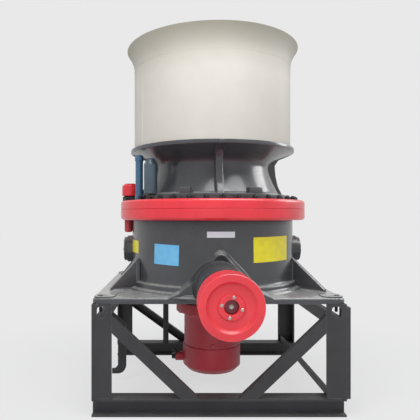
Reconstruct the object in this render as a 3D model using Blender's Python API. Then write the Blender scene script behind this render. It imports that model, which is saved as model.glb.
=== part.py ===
"""Cone crusher with feed hopper on a low steel support frame.

Units are metres and +Z is up. The drive pulley points to -Y. The crusher's own axis is the empty
called crusher_axis; every piece is drawn around it, and the empty is placed so that the middle of the
whole outline stands on the origin.
"""
import math

import bmesh
import bpy
from mathutils import Matrix, Vector

# Gap between pieces that touch, depth that joined solids share, and play beyond a cut
GAP = 0.0003
BITE = 0.004
BEYOND = 0.05

# Facets of large rings, of openings and tunnels, of the drive and of small round pieces
RING_FACETS = 48
MID_FACETS = 36
DRIVE_FACETS = 32
SMALL_FACETS = 20
SHARP_ANGLE = 35

# Edge break on machined pieces
CHAMFER = 0.006

# Support frame: half width, front and rear face, and the angle section of the posts
FRAME_HALF_X = 0.90
FRONT_FACE = -0.70
REAR_FACE = 0.86
POST_WIDTH = 0.142
POST_DEPTH = 0.12
POST_WALL = 0.012
BEAM_HEIGHT = 0.125
BEAM_WIDTH = 0.12
BEAM_FLANGE = 0.014
BEAM_WEB = 0.012
FRAME_TOP = 0.795

# Pockets near the top of each post, where the foundation bolt hangs
POCKET_WIDTH = 0.068
POCKET_DEPTH = 0.062
POCKET_HEIGHT = 0.08
POCKET_BASE = 0.698
POCKET_CORNER = 0.024

# Rails between front and rear posts: the high ones inside the posts, the low one a flat bar
RAIL_WIDTH = 0.048
HIGH_RAIL_BASE = 0.593
HIGH_RAIL_HEIGHT = 0.10
LOW_RAIL_HEIGHT = 0.06
LOW_RAIL_INSET = 0.02
LOW_RAIL_WIDTH = 0.012

# Braces are channels whose back faces outward
BRACE_SPAN = 0.49
BRACE_RISE = 0.466
BRACE_FACE = 0.12
REAR_BRACE_SPAN = 0.50
REAR_BRACE_RISE = 0.36
REAR_BRACE_FACE = 0.095
BRACE_DEPTH = 0.055
BRACE_WALL = 0.01

# Pipe strut behind, hooked strap on the left, outer plate on the right
STRUT_X = -0.408
STRUT_RADIUS = 0.028
STRUT_CLEARANCE = 0.006
HOOK_WIDTH = 0.07
HOOK_THICKNESS = 0.022
HOOK_BOTTOM = 0.072
HOOK_TIP = 0.05
HOOK_CURL = 0.6
HOOK_KINK = 0.10
HOOK_X = -0.73
SIDE_PLATE = 0.027
SIDE_PLATE_DEPTH = 0.075
SIDE_PLATE_BASE = 0.128
SIDE_PLATE_TOP = 0.772

# Base plate of the bottomshell and its four feet
BASE_HALF_X = 0.90
BASE_THICKNESS = 0.045
BASE_CORNER = 0.06
FOOT_SIZE = 0.17
FOOT_HEIGHT = 0.012
FOOT_MARGIN = 0.004
FOOT_BOLT_RADIUS = 0.02
FOOT_BOLT_X = 0.845

# Shell, its foot fillet and the gusset ribs at its sides
SHELL_RADIUS = 0.673
SHELL_WALL = 0.058
SHELL_TOP = 1.384
SHELL_FOOT_RADIUS = 0.70
SHELL_FOOT_HEIGHT = 0.11
SHELL_FOOT_RISE = 0.02
GUSSET_TURN = 19.1
GUSSET_SPLAY = 33.0
GUSSET_LENGTH = 0.285
GUSSET_THICKNESS = 0.035
GUSSET_TOP = 1.09
GUSSET_FOOT = 0.022

# Hub and arms inside the shell
HUB_RADIUS = 0.29
HUB_BORE = 0.20
HUB_BASE = 0.70
HUB_TOP = 1.20
ARM_THICKNESS = 0.09
ARM_BASE = 0.82
ARM_TOP = 1.04

# Round doors in the sides of the shell
DOOR_Z = 1.14
DOOR_RADIUS = 0.10
DOOR_SEAT = 0.025
DOOR_BOSS = 0.012
DOOR_BOSS_REACH = 0.715
DOOR_THICKNESS = 0.025

# Drive: pinion tunnel, hump over it, cover, shaft and pulley
PINION_Z = 0.918
TUNNEL_RADIUS = 0.17
TUNNEL_BORE = 0.11
TUNNEL_REACH = 1.05
HUMP_PEAK = 1.162
HUMP_REACH = 0.735
HUMP_BACK = 0.44
HUMP_SPREAD = 0.40
HUMP_BEVEL = 0.018
HUMP_WALL = 0.03
COLLAR_PROUD = 0.05
COLLAR_LENGTH = 0.105
COVER_RADIUS = 0.165
COVER_THICKNESS = 0.035
SHAFT_RADIUS = 0.05
SHAFT_INNER_END = 0.34
PULLEY_RADIUS = 0.184
PULLEY_WIDTH = 0.20
PULLEY_STANDOFF = 0.165
PULLEY_RIM = 0.044
PULLEY_RECESS = 0.022
PULLEY_WEB = 0.05
GROOVES = 6
GROOVE_DEPTH = 0.018
GROOVE_FLAT = 0.008
GROOVE_SLOPE = 0.3
BUSH_RADIUS = 0.078
BUSH_SETBACK = 0.012
SHAFT_SETBACK = 0.025

# Hydroset cylinder below the hub
HYDROSET_FLANGE_RADIUS = 0.30
HYDROSET_FLANGE = 0.083
HYDROSET_RADIUS = 0.232
HYDROSET_COVER_TOP = 0.34
HYDROSET_COVER_RADIUS = 0.243
HYDROSET_BOTTOM = 0.13
HYDROSET_CHAMFER = 0.02
PORT_Z = 0.222
PORT_RADIUS = 0.038
PORT_NOSE_RADIUS = 0.028
PORT_NOSE = 0.03
PORT_SEAT = 0.02
PORT_REACH = 0.34

# Joint rings between the two shells
RING_RADIUS = 0.769
RING_BORE = 0.58
RING_JOINT = 1.47
RING_TOP = 1.542
RING_ROUND = 0.024

# Topshell
SKIRT_FLANGE_RADIUS = 0.625
SKIRT_FLANGE = 0.043
SKIRT_RADIUS = 0.565
WAIST_RADIUS = 0.475
WAIST_Z = 1.81
TOP_FLANGE_RADIUS = 0.685
TOP_FLANGE = 0.037
TOP_FLANGE_Z = 1.967
BORE_BOTTOM_RADIUS = 0.545
BORE_WAIST_RADIUS = 0.425
BORE_WAIST_Z = 1.80
BORE_TOP_RADIUS = 0.56
TOP_FLANGE_ROOT = 0.03
RIB_THICKNESS = 0.055
RIB_PROUD = 0.036
RIB_COUNT = 4
LUG_DEPTH = 0.05
LUG_HEIGHT = 0.045
LUGS = ((-113.0, 0.09), (-62.0, 0.12))
NUB_WIDTH = 0.036
NUB_PROUD = 0.014
SPIDER_HUB_RADIUS = 0.165
SPIDER_HUB_BASE = 1.83
SPIDER_HUB_TOP = 2.05
SPIDER_ARM = 0.15
CAP_RADIUS = 0.175
CAP_HEIGHT = 0.10
CAP_RIM = 0.02

# Crushing chamber
CONCAVE_BASE = 1.47
CONCAVE_OUTLET_RADIUS = 0.505
CONCAVE_WAIST_RADIUS = 0.40
CONCAVE_WAIST_Z = 1.66
CONCAVE_INLET_RADIUS = 0.385
HEAD_BASE = 1.41
HEAD_TOP = 1.735
HEAD_BASE_RADIUS = 0.415
HEAD_TOP_RADIUS = 0.165
HEAD_TAPER = 0.03
MANTLE_EDGE = 0.01
MANTLE_THICKNESS = 0.06
NECK_RADIUS = 0.11
NECK_TOP = 2.03
MAIN_SHAFT_RADIUS = 0.13
HEAD_NUT_HEIGHT = 0.05
DUST_COLLAR_RADIUS = 0.33
DUST_COLLAR_TOP = 1.36

# Feed hopper
HOPPER_RADIUS = 0.655
HOPPER_WALL = 0.012
HOPPER_FLARE_Z = 2.616
HOPPER_TOP = 2.795
HOPPER_LIP_RADIUS = 0.716
HOPPER_BELL = 2.0

# Fittings on the left of the joint ring
CLAMP_X = -0.691
CLAMP_Y = -0.02
CLAMP_RADIUS = 0.071
CLAMP_NECK = 0.045
CLAMP_DOME = 0.02
CLAMP_TOP = 1.691
CLAMP_ROD_RADIUS = 0.034
CLAMP_ROD_BOTTOM = 1.28
LUBRICATOR_TURN = 205.5
LUBRICATOR_RADIUS = 0.035
LUBRICATOR_TOP = 1.90
CANISTER_TURN = 218.0
CANISTER_RADIUS = 0.052
CANISTER_STANDOFF = 0.017
CANISTER_SHOULDER = 0.04
CANISTER_NECK = 0.01
CANISTER_TOP = 1.86

# The pulley stands clear of the cover, and the whole outline is centred on the origin
PULLEY_REACH = TUNNEL_REACH + COVER_THICKNESS + PULLEY_STANDOFF + PULLEY_WIDTH
AXIS_X = -(FRAME_HALF_X + SIDE_PLATE - BASE_HALF_X) / 2
AXIS_Y = (PULLEY_REACH - REAR_FACE) / 2

BASE_TOP = FRAME_TOP + BASE_THICKNESS
POST_INNER_X = FRAME_HALF_X - POST_WIDTH
POST_MIDDLE_X = FRAME_HALF_X - POST_WIDTH / 2
CORNERS = ((-1, -1), (1, -1), (-1, 1), (1, 1))
SHELL_BORE = SHELL_RADIUS - SHELL_WALL

COLOURS = {
    "frame_steel": ((0.055, 0.055, 0.057), 0.55, 0.0),
    "cast_grey": ((0.075, 0.075, 0.08), 0.42, 0.0),
    "red_paint": ((0.79, 0.07, 0.08), 0.38, 0.0),
    "dark_red_paint": ((0.42, 0.05, 0.06), 0.42, 0.0),
    "white_paint": ((0.66, 0.64, 0.60), 0.40, 0.0),
    "blue_paint": ((0.06, 0.15, 0.28), 0.35, 0.0),
    "slate_paint": ((0.07, 0.10, 0.13), 0.40, 0.0),
    "manganese": ((0.20, 0.19, 0.18), 0.50, 0.9),
    "machined_steel": ((0.45, 0.45, 0.46), 0.30, 1.0),
}


def clear_scene():
    for obj in list(bpy.data.objects):
        bpy.data.objects.remove(obj, do_unlink=True)


def paint(obj, finish):
    """Give an object its own material in one of the named finishes."""
    colour, roughness, metallic = COLOURS[finish]
    material = bpy.data.materials.new(obj.name + "_" + finish)
    material.use_nodes = True
    shader = material.node_tree.nodes["Principled BSDF"]
    shader.inputs["Base Color"].default_value = (*colour, 1.0)
    shader.inputs["Roughness"].default_value = roughness
    shader.inputs["Metallic"].default_value = metallic
    obj.data.materials.clear()
    obj.data.materials.append(material)
    return obj


def finish_mesh(name, mesh_builder, parent):
    """Turn a bmesh into an object with outward faces and smooth round sides."""
    bmesh.ops.recalc_face_normals(mesh_builder, faces=mesh_builder.faces)
    mesh = bpy.data.meshes.new(name)
    mesh_builder.to_mesh(mesh)
    mesh_builder.free()
    mesh.shade_smooth()
    mesh.set_sharp_from_angle(angle=math.radians(SHARP_ANGLE))
    obj = bpy.data.objects.new(name, mesh)
    bpy.context.scene.collection.objects.link(obj)
    obj.parent = parent
    return obj


def turned(name, profile, parent, facets=RING_FACETS, along="Z", centre=(0.0, 0.0, 0.0)):
    """Turn a closed outline of (radius, height) points about an axis through centre."""
    builder = bmesh.new()
    rings = []
    for radius, height in profile:
        if radius < 1e-6:
            rings.append([builder.verts.new((0.0, 0.0, height))] * facets)
            continue
        ring = []
        for step in range(facets):
            angle = 2 * math.pi * step / facets
            ring.append(builder.verts.new((radius * math.cos(angle), radius * math.sin(angle), height)))
        rings.append(ring)
    for index, ring in enumerate(rings):
        following = rings[(index + 1) % len(rings)]
        for step in range(facets):
            other = (step + 1) % facets
            corners = []
            for corner in (ring[step], ring[other], following[other], following[step]):
                if corner not in corners:
                    corners.append(corner)
            if len(corners) > 2:
                builder.faces.new(corners)
    turn = {
        "Z": Matrix.Identity(4),
        "X": Matrix.Rotation(math.radians(90), 4, "Y"),
        "Y": Matrix.Rotation(math.radians(90), 4, "X"),
    }[along]
    builder.transform(Matrix.Translation(Vector(centre)) @ turn)
    return finish_mesh(name, builder, parent)


def cylinder(name, radius, low, high, parent, facets=SMALL_FACETS, along="Z", centre=(0.0, 0.0, 0.0)):
    profile = [(0.0, low), (radius, low), (radius, high), (0.0, high)]
    return turned(name, profile, parent, facets, along, centre)


def ring_piece(name, bore, radius, low, high, parent, facets=RING_FACETS, along="Z",
               centre=(0.0, 0.0, 0.0)):
    profile = [(bore, low), (radius, low), (radius, high), (bore, high)]
    return turned(name, profile, parent, facets, along, centre)


def prism(name, outline, low, high, parent, along="Y"):
    """Extrude a flat outline. Its points are (x, z) along Y, (y, z) along X or (x, y) along Z."""
    place = {
        "Y": lambda a, b, depth: (a, depth, b),
        "X": lambda a, b, depth: (depth, a, b),
        "Z": lambda a, b, depth: (a, b, depth),
    }[along]
    builder = bmesh.new()
    ends = [[builder.verts.new(place(a, b, depth)) for a, b in outline] for depth in (low, high)]
    builder.faces.new(ends[0])
    builder.faces.new(ends[1])
    for index in range(len(outline)):
        other = (index + 1) % len(outline)
        builder.faces.new((ends[0][index], ends[0][other], ends[1][other], ends[1][index]))
    return finish_mesh(name, builder, parent)


def block(name, low, high, parent):
    outline = [(low[0], low[1]), (high[0], low[1]), (high[0], high[1]), (low[0], high[1])]
    return prism(name, outline, low[2], high[2], parent, along="Z")


def around(radius, turn):
    """Point at a radius from the crusher's axis, turned in degrees from +X."""
    return (radius * math.cos(math.radians(turn)), radius * math.sin(math.radians(turn)), 0.0)


def row_span(side_y, depth):
    """Depth range of a piece flush with the frame's front face (side_y -1) or rear face (side_y 1)."""
    if side_y < 0:
        return (FRONT_FACE, FRONT_FACE + depth)
    return (REAR_FACE - depth, REAR_FACE)


def rounded_outline(low, high, radius, steps=5):
    """Rectangle with quarter round corners, as a list of points."""
    centres = [
        (high[0] - radius, high[1] - radius, 0),
        (low[0] + radius, high[1] - radius, 90),
        (low[0] + radius, low[1] + radius, 180),
        (high[0] - radius, low[1] + radius, 270),
    ]
    points = []
    for x, y, start in centres:
        for step in range(steps + 1):
            angle = math.radians(start + 90 * step / steps)
            points.append((x + radius * math.cos(angle), y + radius * math.sin(angle)))
    return points


def weld(mesh, distance=0.00002):
    """Close the hairline slivers that a cut along an edge can leave."""
    builder = bmesh.new()
    builder.from_mesh(mesh)
    bmesh.ops.remove_doubles(builder, verts=builder.verts, dist=distance)
    bmesh.ops.dissolve_degenerate(builder, edges=builder.edges, dist=distance)
    builder.to_mesh(mesh)
    builder.free()


def combine(body, tools, operation):
    """Union or cut: the tools are used up and the result stays in the body's mesh."""
    for tool in tools:
        modifier = body.modifiers.new(operation.lower(), "BOOLEAN")
        modifier.operation = operation
        modifier.solver = "EXACT"
        modifier.object = tool
        bpy.context.view_layer.update()
        evaluated = body.evaluated_get(bpy.context.evaluated_depsgraph_get())
        result = bpy.data.meshes.new_from_object(evaluated)
        body.modifiers.remove(modifier)
        weld(result)
        body.data = result
        bpy.data.objects.remove(tool, do_unlink=True)
    body.data.shade_smooth()
    body.data.set_sharp_from_angle(angle=math.radians(SHARP_ANGLE))
    return body


def angle_section(side_x, side_y):
    """Outline in plan of a post: one leg faces front or rear, the other stands at the outer side."""
    outer_y, inner_y = row_span(side_y, POST_DEPTH)[::-side_y]
    outer_x = side_x * FRAME_HALF_X
    return [
        (outer_x, outer_y),
        (side_x * POST_INNER_X, outer_y),
        (side_x * POST_INNER_X, outer_y - side_y * POST_WALL),
        (side_x * (FRAME_HALF_X - POST_WALL), outer_y - side_y * POST_WALL),
        (side_x * (FRAME_HALF_X - POST_WALL), inner_y),
        (outer_x, inner_y),
    ]


def build_posts(axis):
    """Four angle posts, with a pocket in both legs for the foundation bolt."""
    for row, side_y in (("front", -1), ("rear", 1)):
        y_middle = sum(row_span(side_y, POST_DEPTH)) / 2
        for side, side_x in (("left", -1), ("right", 1)):
            post = prism(
                f"post_{row}_{side}", angle_section(side_x, side_y), BEAM_HEIGHT + GAP, FRAME_TOP - GAP,
                axis, along="Z",
            )
            x_middle = side_x * POST_MIDDLE_X
            cuts = []
            for along, middle, other, width in (
                ("Y", x_middle, y_middle, POCKET_WIDTH),
                ("X", y_middle, side_x * FRAME_HALF_X, POCKET_DEPTH),
            ):
                outline = rounded_outline(
                    (middle - width / 2, POCKET_BASE),
                    (middle + width / 2, POCKET_BASE + POCKET_HEIGHT),
                    POCKET_CORNER,
                    steps=4,
                )
                reach = POST_DEPTH if along == "Y" else 2 * POST_WALL
                cuts.append(prism("pocket", outline, other - reach, other + reach, axis, along=along))
            combine(post, cuts, "DIFFERENCE")
            paint(post, "frame_steel")


def build_beams(axis):
    """Front and rear bottom beams: I sections that lie along X."""
    half = BEAM_WIDTH / 2
    web = BEAM_WEB / 2
    for row, side_y in (("front", -1), ("rear", 1)):
        middle = sum(row_span(side_y, BEAM_WIDTH)) / 2
        right_side = [
            (half, 0.0),
            (half, BEAM_FLANGE),
            (web, BEAM_FLANGE),
            (web, BEAM_HEIGHT - BEAM_FLANGE),
            (half, BEAM_HEIGHT - BEAM_FLANGE),
            (half, BEAM_HEIGHT),
        ]
        outline = [(middle + y, z) for y, z in right_side]
        outline += [(middle - y, z) for y, z in reversed(right_side)]
        beam = prism(f"beam_{row}", outline, -FRAME_HALF_X, FRAME_HALF_X, axis, along="X")
        paint(beam, "frame_steel")


def build_rails(axis):
    """High rails inside the outer legs of the posts, and a low flat bar on the right."""
    y_span = (FRONT_FACE + POST_WALL + GAP, REAR_FACE - POST_WALL - GAP)
    outer = FRAME_HALF_X - POST_WALL - GAP
    for side, side_x in (("left", -1), ("right", 1)):
        x_span = sorted((side_x * outer, side_x * (outer - RAIL_WIDTH)))
        rail = block(
            f"side_rail_high_{side}",
            (x_span[0], y_span[0], HIGH_RAIL_BASE),
            (x_span[1], y_span[1], HIGH_RAIL_BASE + HIGH_RAIL_HEIGHT),
            axis,
        )
        paint(rail, "frame_steel")
    bar_x = POST_INNER_X + LOW_RAIL_INSET
    bar = block(
        "side_rail_low_right",
        (bar_x, y_span[0], BEAM_HEIGHT + 2 * GAP),
        (bar_x + LOW_RAIL_WIDTH, y_span[1], BEAM_HEIGHT + LOW_RAIL_HEIGHT),
        axis,
    )
    paint(bar, "frame_steel")


def build_braces(axis):
    """Sloping channels from the posts down to the beams."""
    top = POST_INNER_X - GAP
    base = BEAM_HEIGHT + GAP
    front = (BRACE_SPAN, BRACE_RISE, BRACE_FACE)
    rear = (REAR_BRACE_SPAN, REAR_BRACE_RISE, REAR_BRACE_FACE)
    places = (("front_left", -1, -1, front), ("front_right", 1, -1, front), ("rear_left", -1, 1, rear))
    for place, side_x, side_y, (span, rise, face) in places:
        upper = base + rise + face
        lower = base + rise
        slope = rise / span
        outline = [
            (side_x * top, upper),
            (side_x * top, lower),
            (side_x * (top - span), base),
            (side_x * (top - span - face / slope), base),
        ]
        brace = prism(f"brace_{place}", outline, *row_span(side_y, BRACE_DEPTH), axis)
        lip = BRACE_WALL * math.hypot(1.0, slope)
        reach = span + face / slope + BEYOND
        groove_outline = [
            (side_x * (top + BEYOND), upper - lip + BEYOND * slope),
            (side_x * (top + BEYOND), lower + lip + BEYOND * slope),
            (side_x * (top - reach), lower + lip - reach * slope),
            (side_x * (top - reach), upper - lip - reach * slope),
        ]
        groove_low, groove_high = row_span(side_y, BRACE_DEPTH + BEYOND)
        if side_y < 0:
            groove_low += BRACE_WALL
        else:
            groove_high -= BRACE_WALL
        groove = prism("groove", groove_outline, groove_low, groove_high, axis)
        combine(brace, [groove], "DIFFERENCE")
        paint(brace, "frame_steel")


def build_strut(axis):
    middle_y = REAR_FACE - BRACE_DEPTH - STRUT_RADIUS - STRUT_CLEARANCE
    strut = cylinder(
        "rear_strut", STRUT_RADIUS, BEAM_HEIGHT + GAP, FRAME_TOP - GAP, axis,
        centre=(STRUT_X, middle_y, 0.0),
    )
    paint(strut, "frame_steel")


def build_hook(axis):
    """Flat strap under the left high rail: it kinks inward and its lower end curls outward."""
    top = HIGH_RAIL_BASE - GAP
    rail_outer = -(FRAME_HALF_X - POST_WALL - GAP)
    outer_x = HOOK_X - HOOK_WIDTH
    bend = HOOK_WIDTH
    steps = 8
    outline = [(rail_outer, top), (rail_outer + RAIL_WIDTH, top), (HOOK_X, top - HOOK_KINK)]
    for step in range(steps + 1):
        angle = math.radians(-90 * step / steps)
        outline.append((outer_x + bend * math.cos(angle), HOOK_BOTTOM + bend + bend * math.sin(angle)))
    curl_top = HOOK_BOTTOM + HOOK_CURL * bend
    outline += [
        (outer_x - HOOK_TIP, HOOK_BOTTOM),
        (outer_x - HOOK_TIP, curl_top),
        (outer_x - HOOK_TIP / 2, curl_top),
        (outer_x, HOOK_BOTTOM + bend),
        (outer_x, top - HOOK_KINK),
    ]
    hook = prism("hooked_strap", outline, -HOOK_THICKNESS / 2, HOOK_THICKNESS / 2, axis)
    paint(hook, "frame_steel")


def build_side_plate(axis):
    x_low = FRAME_HALF_X + GAP
    plate = block(
        "side_plate_right",
        (x_low, FRONT_FACE, SIDE_PLATE_BASE),
        (FRAME_HALF_X + SIDE_PLATE, FRONT_FACE + SIDE_PLATE_DEPTH, SIDE_PLATE_TOP),
        axis,
    )
    paint(plate, "frame_steel")


def shell_profile():
    """Wall of the bottomshell with the swept foot on its outer side."""
    skirt = SHELL_FOOT_RADIUS - BITE
    points = [(SHELL_BORE, FRAME_TOP), (skirt, FRAME_TOP), (skirt, BASE_TOP - BITE)]
    sweep = SHELL_FOOT_RADIUS - SHELL_RADIUS
    steps = 5
    for step in range(steps + 1):
        angle = math.radians(90 * step / steps)
        radius = SHELL_RADIUS + sweep * (1 - math.sin(angle))
        height = BASE_TOP + SHELL_FOOT_HEIGHT * (1 - math.cos(angle))
        points.append((radius, height + SHELL_FOOT_RISE))
    points += [(SHELL_RADIUS, SHELL_TOP - GAP), (SHELL_BORE, SHELL_TOP - GAP)]
    return points


def hump_outline(grow):
    """Bell shaped outline over the pinion tunnel, widened by grow at its edge."""
    rise = HUMP_PEAK - BASE_TOP
    right_side = [
        (HUMP_SPREAD + grow, FRAME_TOP + BITE),
        (HUMP_SPREAD + grow, BASE_TOP + BITE / 2),
        (0.75 * HUMP_SPREAD + grow, BASE_TOP + 0.14 * rise + 0.5 * grow),
        (0.55 * HUMP_SPREAD + grow, BASE_TOP + 0.34 * rise + grow),
        (0.40 * HUMP_SPREAD + grow, BASE_TOP + 0.57 * rise + grow),
        (0.20 * HUMP_SPREAD + 0.7 * grow, BASE_TOP + 0.82 * rise + grow),
        (0.08 * HUMP_SPREAD, BASE_TOP + 0.97 * rise + grow),
    ]
    return right_side + [(0.0, HUMP_PEAK + grow)] + [(-x, z) for x, z in reversed(right_side)]


def loft(name, sections, parent):
    """Join outlines (x, z) that stand at different depths, given as (depth, outline) pairs."""
    builder = bmesh.new()
    rows = [[builder.verts.new((x, depth, z)) for x, z in outline] for depth, outline in sections]
    count = len(rows[0])
    builder.faces.new(rows[0])
    builder.faces.new(rows[-1])
    for row, following in zip(rows, rows[1:]):
        for index in range(count):
            other = (index + 1) % count
            builder.faces.new((row[index], row[other], following[other], following[index]))
    return finish_mesh(name, builder, parent)


def build_gusset(axis, side_x, side_y):
    """Rib from the shell down to the base plate, splayed towards the corner foot."""
    top = GUSSET_TOP
    foot = BASE_TOP + GUSSET_FOOT
    outline = [
        (-SHELL_WALL / 2, BASE_TOP - BITE), (GUSSET_LENGTH, BASE_TOP - BITE),
        (GUSSET_LENGTH, foot), (0.0, top), (-SHELL_WALL / 2, top),
    ]
    gusset = prism("gusset", outline, -GUSSET_THICKNESS / 2, GUSSET_THICKNESS / 2, axis)
    root = around(SHELL_RADIUS, GUSSET_TURN)
    turn = Matrix.Rotation(math.radians(GUSSET_SPLAY), 4, "Z")
    flip = Matrix.Diagonal((side_x, side_y, 1.0, 1.0))
    gusset.data.transform(flip @ Matrix.Translation(root) @ turn)
    if side_x * side_y < 0:
        gusset.data.flip_normals()
    return gusset


def build_feet(axis):
    """Raised pads at the corners of the base plate."""
    reach_x = BASE_HALF_X - FOOT_MARGIN
    feet = []
    for side_x, side_y in CORNERS:
        x_span = sorted((side_x * reach_x, side_x * (reach_x - FOOT_SIZE)))
        y_span = [y - side_y * FOOT_MARGIN for y in row_span(side_y, FOOT_SIZE)]
        outline = rounded_outline((x_span[0], y_span[0]), (x_span[1], y_span[1]), BASE_CORNER - FOOT_MARGIN)
        feet.append(prism("foot", outline, BASE_TOP - BITE, BASE_TOP + FOOT_HEIGHT, axis, along="Z"))
    return feet


def build_tunnel(axis):
    """Solid of the pinion tunnel with the cast collar where it leaves the hump."""
    collar = HUMP_REACH - BITE - COLLAR_LENGTH / 4
    root = (HUB_BORE + HUB_RADIUS) / 2
    return turned("tunnel", [
        (0.0, root), (TUNNEL_RADIUS, root),
        (TUNNEL_RADIUS, collar), (TUNNEL_RADIUS + COLLAR_PROUD, collar),
        (TUNNEL_RADIUS + 0.9 * COLLAR_PROUD, collar + 0.4 * COLLAR_LENGTH),
        (TUNNEL_RADIUS + 0.25 * COLLAR_PROUD, collar + 0.76 * COLLAR_LENGTH),
        (TUNNEL_RADIUS, collar + COLLAR_LENGTH), (TUNNEL_RADIUS, TUNNEL_REACH), (0.0, TUNNEL_REACH),
    ], axis, MID_FACETS, "Y", (0.0, 0.0, PINION_Z))


def build_hump(axis):
    """Bell shaped swelling of the casting over the pinion tunnel."""
    hump = loft("hump", [
        (-HUMP_BACK, hump_outline(HUMP_BEVEL)),
        (-HUMP_REACH + HUMP_BEVEL, hump_outline(0.0)),
        (-HUMP_REACH, hump_outline(-HUMP_BEVEL)),
    ], axis)
    hollow = cylinder("hollow", SHELL_RADIUS - HUMP_WALL, FRAME_TOP - BEYOND, HUMP_PEAK + BEYOND, axis,
                      RING_FACETS)
    return combine(hump, [hollow], "DIFFERENCE")


def build_bottomshell(axis):
    """Bottomshell casting: base plate, shell, hub with four arms, pinion tunnel, gussets and feet."""
    body = turned("bottomshell", shell_profile(), axis)
    plate = prism(
        "plate",
        rounded_outline((-BASE_HALF_X, FRONT_FACE), (BASE_HALF_X, REAR_FACE), BASE_CORNER),
        FRAME_TOP, BASE_TOP, axis, along="Z",
    )
    opening = cylinder("opening", SHELL_BORE + SHELL_WALL / 3, FRAME_TOP - BEYOND, BASE_TOP + BEYOND, axis,
                       RING_FACETS)
    combine(plate, [opening], "DIFFERENCE")
    parts = [plate] + build_feet(axis)
    for side_x, side_y in CORNERS:
        parts.append(build_gusset(axis, side_x, side_y))
    parts.append(cylinder("hub", HUB_RADIUS, HUB_BASE + GAP, HUB_TOP, axis, RING_FACETS))
    for turn in (45, 135):
        reach = SHELL_BORE + SHELL_WALL / 3
        half = ARM_THICKNESS / 2
        arm = block("arm", (-reach, -half, ARM_BASE), (reach, half, ARM_TOP), axis)
        arm.data.transform(Matrix.Rotation(math.radians(turn), 4, "Z"))
        parts.append(arm)
    parts += [build_tunnel(axis), build_hump(axis)]
    for side_x in (-1, 1):
        x_span = sorted((side_x * (SHELL_RADIUS - SHELL_WALL / 2), side_x * DOOR_BOSS_REACH))
        boss = cylinder("boss", DOOR_RADIUS + DOOR_BOSS, x_span[0], x_span[1], axis, SMALL_FACETS, "X",
                        (0, 0, DOOR_Z))
        parts.append(boss)
    combine(body, parts, "UNION")

    cuts = [
        cylinder("hub_bore", HUB_BORE + GAP, HUB_BASE - BEYOND, HUB_TOP + BEYOND, axis, RING_FACETS),
        cylinder("tunnel_bore", TUNNEL_BORE, HUB_BORE - SHELL_WALL / 2, TUNNEL_REACH + BEYOND, axis,
                 MID_FACETS, "Y", (0.0, 0.0, PINION_Z)),
    ]
    for side_x in (-1, 1):
        x_span = sorted((side_x * (SHELL_BORE - BEYOND), side_x * (DOOR_BOSS_REACH + BEYOND)))
        cuts.append(cylinder("door_hole", DOOR_RADIUS - DOOR_SEAT, x_span[0], x_span[1], axis, SMALL_FACETS,
                             "X", (0, 0, DOOR_Z)))
    for side_x, side_y in CORNERS:
        centre = (side_x * FOOT_BOLT_X, sum(row_span(side_y, POST_DEPTH)) / 2, 0.0)
        cuts.append(cylinder("bolt_hole", FOOT_BOLT_RADIUS, FRAME_TOP - BEYOND, BASE_TOP + BEYOND, axis, 16,
                             centre=centre))
    combine(body, cuts, "DIFFERENCE")
    paint(body, "cast_grey")


def build_doors(axis):
    """Round covers on the inspection holes at both sides."""
    for side, side_x in (("left", -1), ("right", 1)):
        x_low = DOOR_BOSS_REACH + GAP
        x_high = x_low + DOOR_THICKNESS
        profile = [
            (0.0, side_x * x_low), (DOOR_RADIUS, side_x * x_low),
            (DOOR_RADIUS, side_x * (x_high - CHAMFER)), (DOOR_RADIUS - CHAMFER, side_x * x_high),
            (0.0, side_x * x_high),
        ]
        door = turned(f"side_door_{side}", profile, axis, SMALL_FACETS, "X", (0, 0, DOOR_Z))
        paint(door, "cast_grey")


def build_hydroset(axis):
    """Hydraulic cylinder under the hub, its bottom cover and the side port."""
    flange_top = HUB_BASE
    flange_base = HUB_BASE - HYDROSET_FLANGE
    cover_top = HYDROSET_COVER_TOP
    body = turned("hydroset_cylinder", [
        (0.0, cover_top + GAP), (HYDROSET_RADIUS, cover_top + GAP),
        (HYDROSET_RADIUS, flange_base - HYDROSET_CHAMFER), (HYDROSET_RADIUS + HYDROSET_CHAMFER, flange_base),
        (HYDROSET_FLANGE_RADIUS, flange_base), (HYDROSET_FLANGE_RADIUS, flange_top), (0.0, flange_top),
    ], axis, DRIVE_FACETS)
    paint(body, "dark_red_paint")
    bottom = HYDROSET_BOTTOM
    cover = turned("hydroset_cover", [
        (0.0, bottom), (HYDROSET_COVER_RADIUS - 2 * HYDROSET_CHAMFER, bottom),
        (HYDROSET_COVER_RADIUS, bottom + 2 * HYDROSET_CHAMFER),
        (HYDROSET_COVER_RADIUS, cover_top - CHAMFER), (HYDROSET_COVER_RADIUS - CHAMFER, cover_top),
        (0.0, cover_top),
    ], axis, DRIVE_FACETS)
    pocket_reach = HYDROSET_COVER_RADIUS - PORT_SEAT
    pocket = cylinder("pocket", PORT_RADIUS + GAP, -PORT_REACH - BEYOND, -pocket_reach + GAP, axis,
                      along="X", centre=(0, 0, PORT_Z))
    combine(cover, [pocket], "DIFFERENCE")
    paint(cover, "dark_red_paint")
    port = turned("hydroset_port", [
        (0.0, -pocket_reach), (PORT_RADIUS, -pocket_reach), (PORT_RADIUS, PORT_NOSE - PORT_REACH),
        (PORT_NOSE_RADIUS, PORT_NOSE - PORT_REACH), (PORT_NOSE_RADIUS, -PORT_REACH), (0.0, -PORT_REACH),
    ], axis, SMALL_FACETS, "X", (0, 0, PORT_Z))
    paint(port, "dark_red_paint")


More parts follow.
